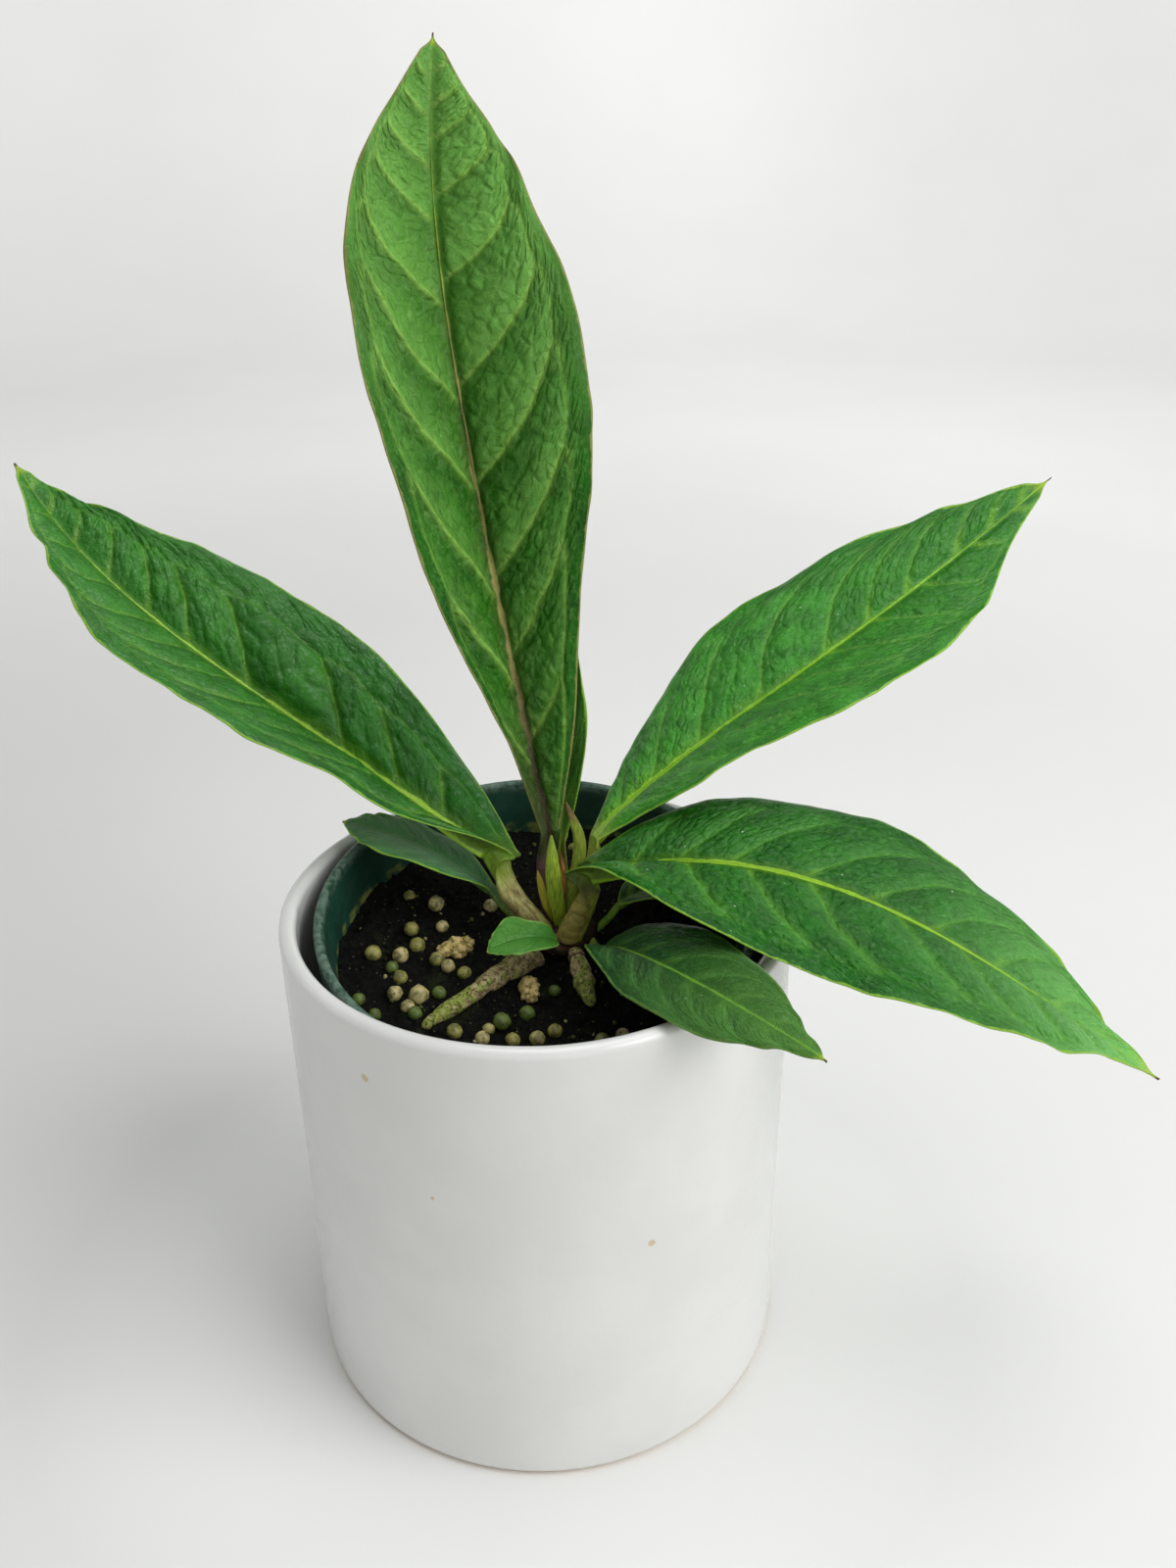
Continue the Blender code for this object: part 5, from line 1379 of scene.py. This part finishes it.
def soil_piece(finish):
    """The soil: clods and grains over the CAD model's low waves, with the sides and the floor closed."""
    edge = nursery_inside(SOIL_DEPTH + SOIL_BUMP * 2) - 0.1
    radii = np.linspace(0.4, edge, SOIL_RINGS)
    angles = 2 * np.pi * np.arange(SOIL_SECTORS) / SOIL_SECTORS
    radius, angle = np.meshgrid(radii, angles, indexing="ij")
    x, y = radius * np.cos(angle), radius * np.sin(angle)
    near, second, number = cell_field(x / CLOD_SIZE, y / CLOD_SIZE, 31)
    clods = (number - 0.35) * 1.9 * np.clip((second - near) * 2.2, 0, 1)
    near, second, number = cell_field(x / GRAIN_SIZE + 50, y / GRAIN_SIZE, 37)
    grains = (number - 0.4) * 0.8 * np.clip((second - near) * 2.5, 0, 1)
    away = 0.25 + 0.75 * away_from_stem(x, y)
    z = soil_height(x, y) + (clods + grains + 0.5 * field(x / 8, y / 8, 41)) * away - 0.25
    points = [(0.0, 0.0, float(soil_height(0.0, 0.0)))]
    points += np.stack([x, y, z], -1).reshape(-1, 3).tolist()
    base = nursery_inside(nursery_height() - NURSERY_WALL) - GAP
    floor = -nursery_height() + NURSERY_WALL + GAP
    points += circle(base, floor, SOIL_SECTORS) + [(0.0, 0.0, floor)]
    faces = round_faces(SOIL_RINGS + 1, SOIL_SECTORS)
    points = placed(points, nursery_frame())
    return piece("soil_surface", points, faces, finish, "soil", smooth_angle=60)


def soil_material():
    s = Shader("dark_soil")
    place = s.millimetres()
    s.colour = (3, 4, 4)
    s.coat(s.cloud(place, 0.9, 0.35, 0.75, detail=5.0), (20, 19, 14))
    s.coat(s.dots(place, 0.5, 0.14, 0.06, 0.7), (96, 90, 66))
    mossy = s.times(s.cloud(place, 0.12, 0.55, 0.68, detail=4.0), s.noise(place, 1.4))
    s.coat(s.times(mossy, 0.5), (52, 62, 26))
    bump = s.bumped(s.noise(place, 2.2, 5.0), 0.5)
    return s.finish(Roughness=0.85, Normal=bump, Specular_IOR_Level=0.12)


def drawn_place(draw, reach):
    """A random place on a disk."""
    angle, radius = draw.uniform(0, 2 * math.pi), reach * math.sqrt(draw.random())
    return radius * math.cos(angle), radius * math.sin(angle)


def prill_places():
    """The prills and lumps that show, and a seeded scatter over the rest, as in the CAD model."""
    places = list(PRILLS) + list(LUMPS)
    draw = random.Random(SEED)
    reach = nursery_inside(SOIL_DEPTH) - 5.0
    while len(places) < len(PRILLS) + len(LUMPS) + SCATTERED_PRILLS:
        x, y = drawn_place(draw, reach)
        size = draw.uniform(1.3, 1.9)
        if all(math.dist((x, y), place[:2]) > size + place[2] + PRILL_SPACE for place in places):
            places.append((x, y, size))
    return [place for place in places if clear_of_growth(*place)]


def crumb_places():
    """Tiny crumbs of perlite, bark and moss strewn over the soil."""
    draw = random.Random(SEED + 1)
    reach = nursery_inside(SOIL_DEPTH) - 1.5
    return [(*drawn_place(draw, reach), draw.uniform(0.25, 0.75)) for _ in range(CRUMBS)]


def clear_of_growth(x, y, size):
    if math.dist((x, y), STEM_CENTRE) < STEM_RADIUS + size + PRILL_SPACE:
        return False
    for root in ROOTS.values():
        path = smooth_path(root["points"], ROOT_STEPS)
        radii = eased(root["radii"], np.linspace(0, 1, ROOT_STEPS))
        if min(math.dist((x, y), p[:2]) - radius for p, radius in zip(path, radii)) < size + PRILL_SPACE:
            return False
    return True


def ball(subdivisions):
    """Unit sphere points and faces."""
    bm = bmesh.new()
    bmesh.ops.create_icosphere(bm, subdivisions=subdivisions, radius=1.0)
    points = np.array([v.co[:] for v in bm.verts])
    faces = np.array([[v.index for v in f.verts] for f in bm.faces])
    bm.free()
    return points, faces


def scatter_piece(name, places, finish, shape, subdivisions):
    """Balls of many sizes in one piece, each shaped by a function of its direction and its number."""
    sphere, sphere_faces = ball(subdivisions)
    points, faces, tints = [], [], []
    where = nursery_frame()
    for index, (x, y, size) in enumerate(places):
        local = where.inverted() @ Vector((x, y, soil_world_height(y)))
        height = float(soil_height(local.x, local.y)) + size * PRILL_SINK
        centre = np.array(where @ Vector((local.x, local.y, height)))
        faces.append(sphere_faces + index * len(sphere))
        points.append(centre + sphere * (size * shape(*sphere.T, index))[:, None])
        tint = float(random_at(index, 3.0, 17))
        tints.append(np.tile((tint, 0.0, 0.0), (len(sphere), 1)))
    points, faces = np.concatenate(points), np.concatenate(faces).tolist()
    return piece(name, points, faces, finish, "soil", {"growth": np.concatenate(tints)})


def prill_shape(x, y, z, index):
    rough = field(x * 2.2 + index * 7, y * 2.2 + z * 1.7, 51)
    return 1.0 + 0.06 * rough + 0.03 * field(x * 6 + index, z * 6 + y * 5, 52)


def lump_shape(x, y, z, index):
    near, _, number = cell_field(x * 1.8 + index * 5, y * 1.8 + z * 1.8, 53)
    return 0.86 + 0.34 * np.clip(0.8 - near, 0, 1) + 0.1 * number


def prill_material():
    """Resin prills: tan, olive or green by their own number, with dark dots and a film of algae."""
    s = Shader("prill_coat")
    place = s.millimetres()
    _, tint, _, _ = s.attribute("growth")
    s.colour = (184, 170, 116)
    s.coat(s.step(tint, 0.35, 0.6), (140, 136, 70))
    s.coat(s.step(tint, 0.74, 0.8), (84, 104, 40))
    s.coat(s.cloud(place, 0.5, 0.42, 0.66, 0.8), (70, 74, 34))
    s.coat(s.dots(place, 0.9, 0.2, 0.12), (40, 36, 20))
    bump = s.bumped(s.noise(place, 2.0, 4.0), 0.15)
    return s.finish(Roughness=0.42, Normal=bump, Specular_IOR_Level=0.4)


def crumb_shape(x, y, z, index):
    return 0.75 + 0.3 * field(x * 1.5 + index * 3, y * 1.5 + z, 55)


def crumb_material():
    s = Shader("crumbs")
    place = s.millimetres()
    _, tint, _, _ = s.attribute("growth")
    s.colour = (34, 27, 18)
    s.coat(s.step(tint, 0.5, 0.6), (78, 84, 40))
    s.coat(s.step(tint, 0.82, 0.86), (150, 140, 100))
    s.coat(s.cloud(place, 1.5, 0.4, 0.7, 0.6), (30, 28, 16))
    return s.finish(Roughness=0.9, Specular_IOR_Level=0.15)


def lump_material():
    s = Shader("perlite")
    place = s.millimetres()
    s.colour = (204, 180, 122)
    s.coat(s.cloud(place, 0.6, 0.4, 0.65, detail=4.0), (136, 126, 66))
    s.coat(s.cloud(place, 1.2, 0.56, 0.66, 0.8), (60, 52, 28))
    bump = s.bumped(s.noise(place, 1.6, 4.0), 0.3)
    return s.finish(Roughness=0.9, Normal=bump, Specular_IOR_Level=0.2)


# Stage, light and camera

def floor_material():
    """Pale floor with painted light round the pot and on the right, and a faint glow far out as a backdrop.
    """
    s = Shader("pale_floor")
    place = s.millimetres()
    cloud = s.times(s.noise(place, 0.004, 2.0), 0.3)
    rightward = s.node("ShaderNodeSeparateXYZ", {0: place}).outputs[0]
    # Painted light: lighter towards the right, darker to the left.
    side = s.step(rightward, -700.0, 500.0, 0.0, 0.6)
    s.colour = (190, 190, 187)
    s.coat(s.plus(cloud, side), (224, 224, 222))
    away = s.node("ShaderNodeVectorMath", {0: place}, operation="LENGTH").outputs["Value"]
    # Painted light round the pot, stronger on its right, and light off the pot close to it.
    near = s.times(s.step(away, *FLOOR_PAINTED_LIGHT), s.step(rightward, -220.0, 60.0, 0.12, 0.45))
    near = s.math("MAXIMUM", near, s.step(away, *POT_BOUNCE, 0.0, 0.75))
    s.coat(near, (240, 240, 238))
    glow = s.plus(s.step(away, *FLOOR_GLOW, 0.0, 0.21), s.step(away, *WALL_GLOW, 0.0, 0.12))
    glow = s.times(glow, s.step(rightward, 150.0, 900.0, 1.0, 0.5))
    return s.finish(Roughness=0.9, Specular_IOR_Level=0.1, Emission_Color=(255, 255, 253),
                    Emission_Strength=glow)


def make_floor():
    """A wide floor that curves up into a low wall all round, so that no edge shows."""
    profile = line((200.0, 0.0), (FLOOR_RADIUS, 0.0), 5)
    profile += arc((FLOOR_RADIUS, FLOOR_CURVE), FLOOR_CURVE, -90, 0, 24)
    points = [(0.0, 0.0, 0.0)]
    for radius, height in profile:
        points += circle(radius, height, FLOOR_SIDES)
    faces = [(first, *rest[::-1]) for first, *rest in round_faces(len(profile), FLOOR_SIDES, closed=False)]
    mesh = bpy.data.meshes.new("floor")
    mesh.from_pydata([tuple(c * MM for c in p) for p in points], [], faces)
    mesh.shade_smooth()
    mesh.materials.append(floor_material())
    floor = bpy.data.objects.new("floor", mesh)
    bpy.context.scene.collection.objects.link(floor)


def area_light(name, place, target, size, power):
    light = bpy.data.lights.new(name, "AREA")
    light.shape = "DISK"
    light.size = size
    light.energy = power
    obj = bpy.data.objects.new(name, light)
    obj.location = place
    obj.rotation_euler = (Vector(target) - Vector(place)).to_track_quat("-Z", "Y").to_euler()
    bpy.context.scene.collection.objects.link(obj)


def make_light():
    world = bpy.data.worlds.new("studio")
    bpy.context.scene.world = world
    world.use_nodes = True
    back = world.node_tree.nodes["Background"]
    back.inputs["Color"].default_value = WORLD_COLOUR
    back.inputs["Strength"].default_value = WORLD_STRENGTH
    for light in LIGHTS:
        area_light(*light)
    bpy.context.scene.view_settings.view_transform = "Standard"


def make_camera():
    down, turn, tilt = (math.radians(a) for a in (CAMERA_DOWN, CAMERA_TURN, CAMERA_TILT))
    ahead = Vector((math.sin(turn) * math.cos(down), math.cos(turn) * math.cos(down), -math.sin(down)))
    level = ahead.cross(Vector((0, 0, 1))).normalized()
    upright = level.cross(ahead)
    right = math.cos(tilt) * level + math.sin(tilt) * upright
    up = -math.sin(tilt) * level + math.cos(tilt) * upright
    camera = bpy.data.cameras.new("camera")
    camera.lens = CAMERA_LENS
    camera.sensor_width = CAMERA_SENSOR
    camera.clip_start = CAMERA_NEAR
    obj = bpy.data.objects.new("camera", camera)
    turned_by = Matrix((right, up, -ahead)).transposed().to_4x4()
    obj.matrix_world = Matrix.Translation(Vector(CAMERA_PLACE)) @ turned_by
    bpy.context.scene.collection.objects.link(obj)
    bpy.context.scene.camera = obj


def main():
    cachepot_piece(glaze_material())
    nursery_piece(plastic_material())
    soil_piece(soil_material())
    places = prill_places()
    lumps = [p for p in places if p in LUMPS]
    prills = [p for p in places if p not in LUMPS]
    scatter_piece("prills", prills, prill_material(), prill_shape, 3)
    scatter_piece("perlite_lumps", lumps, lump_material(), lump_shape, 4)
    scatter_piece("crumbs", crumb_places(), crumb_material(), crumb_shape, 2)
    stem_piece(bark_material())
    skin = root_material()
    for name, root in ROOTS.items():
        root_piece(name, root, skin)
        if root["hairs"]:
            root_hairs_piece(name, root, skin)
    for name, sheath in SHEATHS.items():
        sheath_piece(name, sheath, sheath_material(name, *SHEATH_COLOURS[name]))
    for index, (name, leaf) in enumerate(LEAVES.items()):
        leaf_piece(name, COMMON_LEAF | leaf, leaf_material(name, GREEN | LOOKS[name]), index * 10)
    make_floor()
    make_light()
    make_camera()


main()
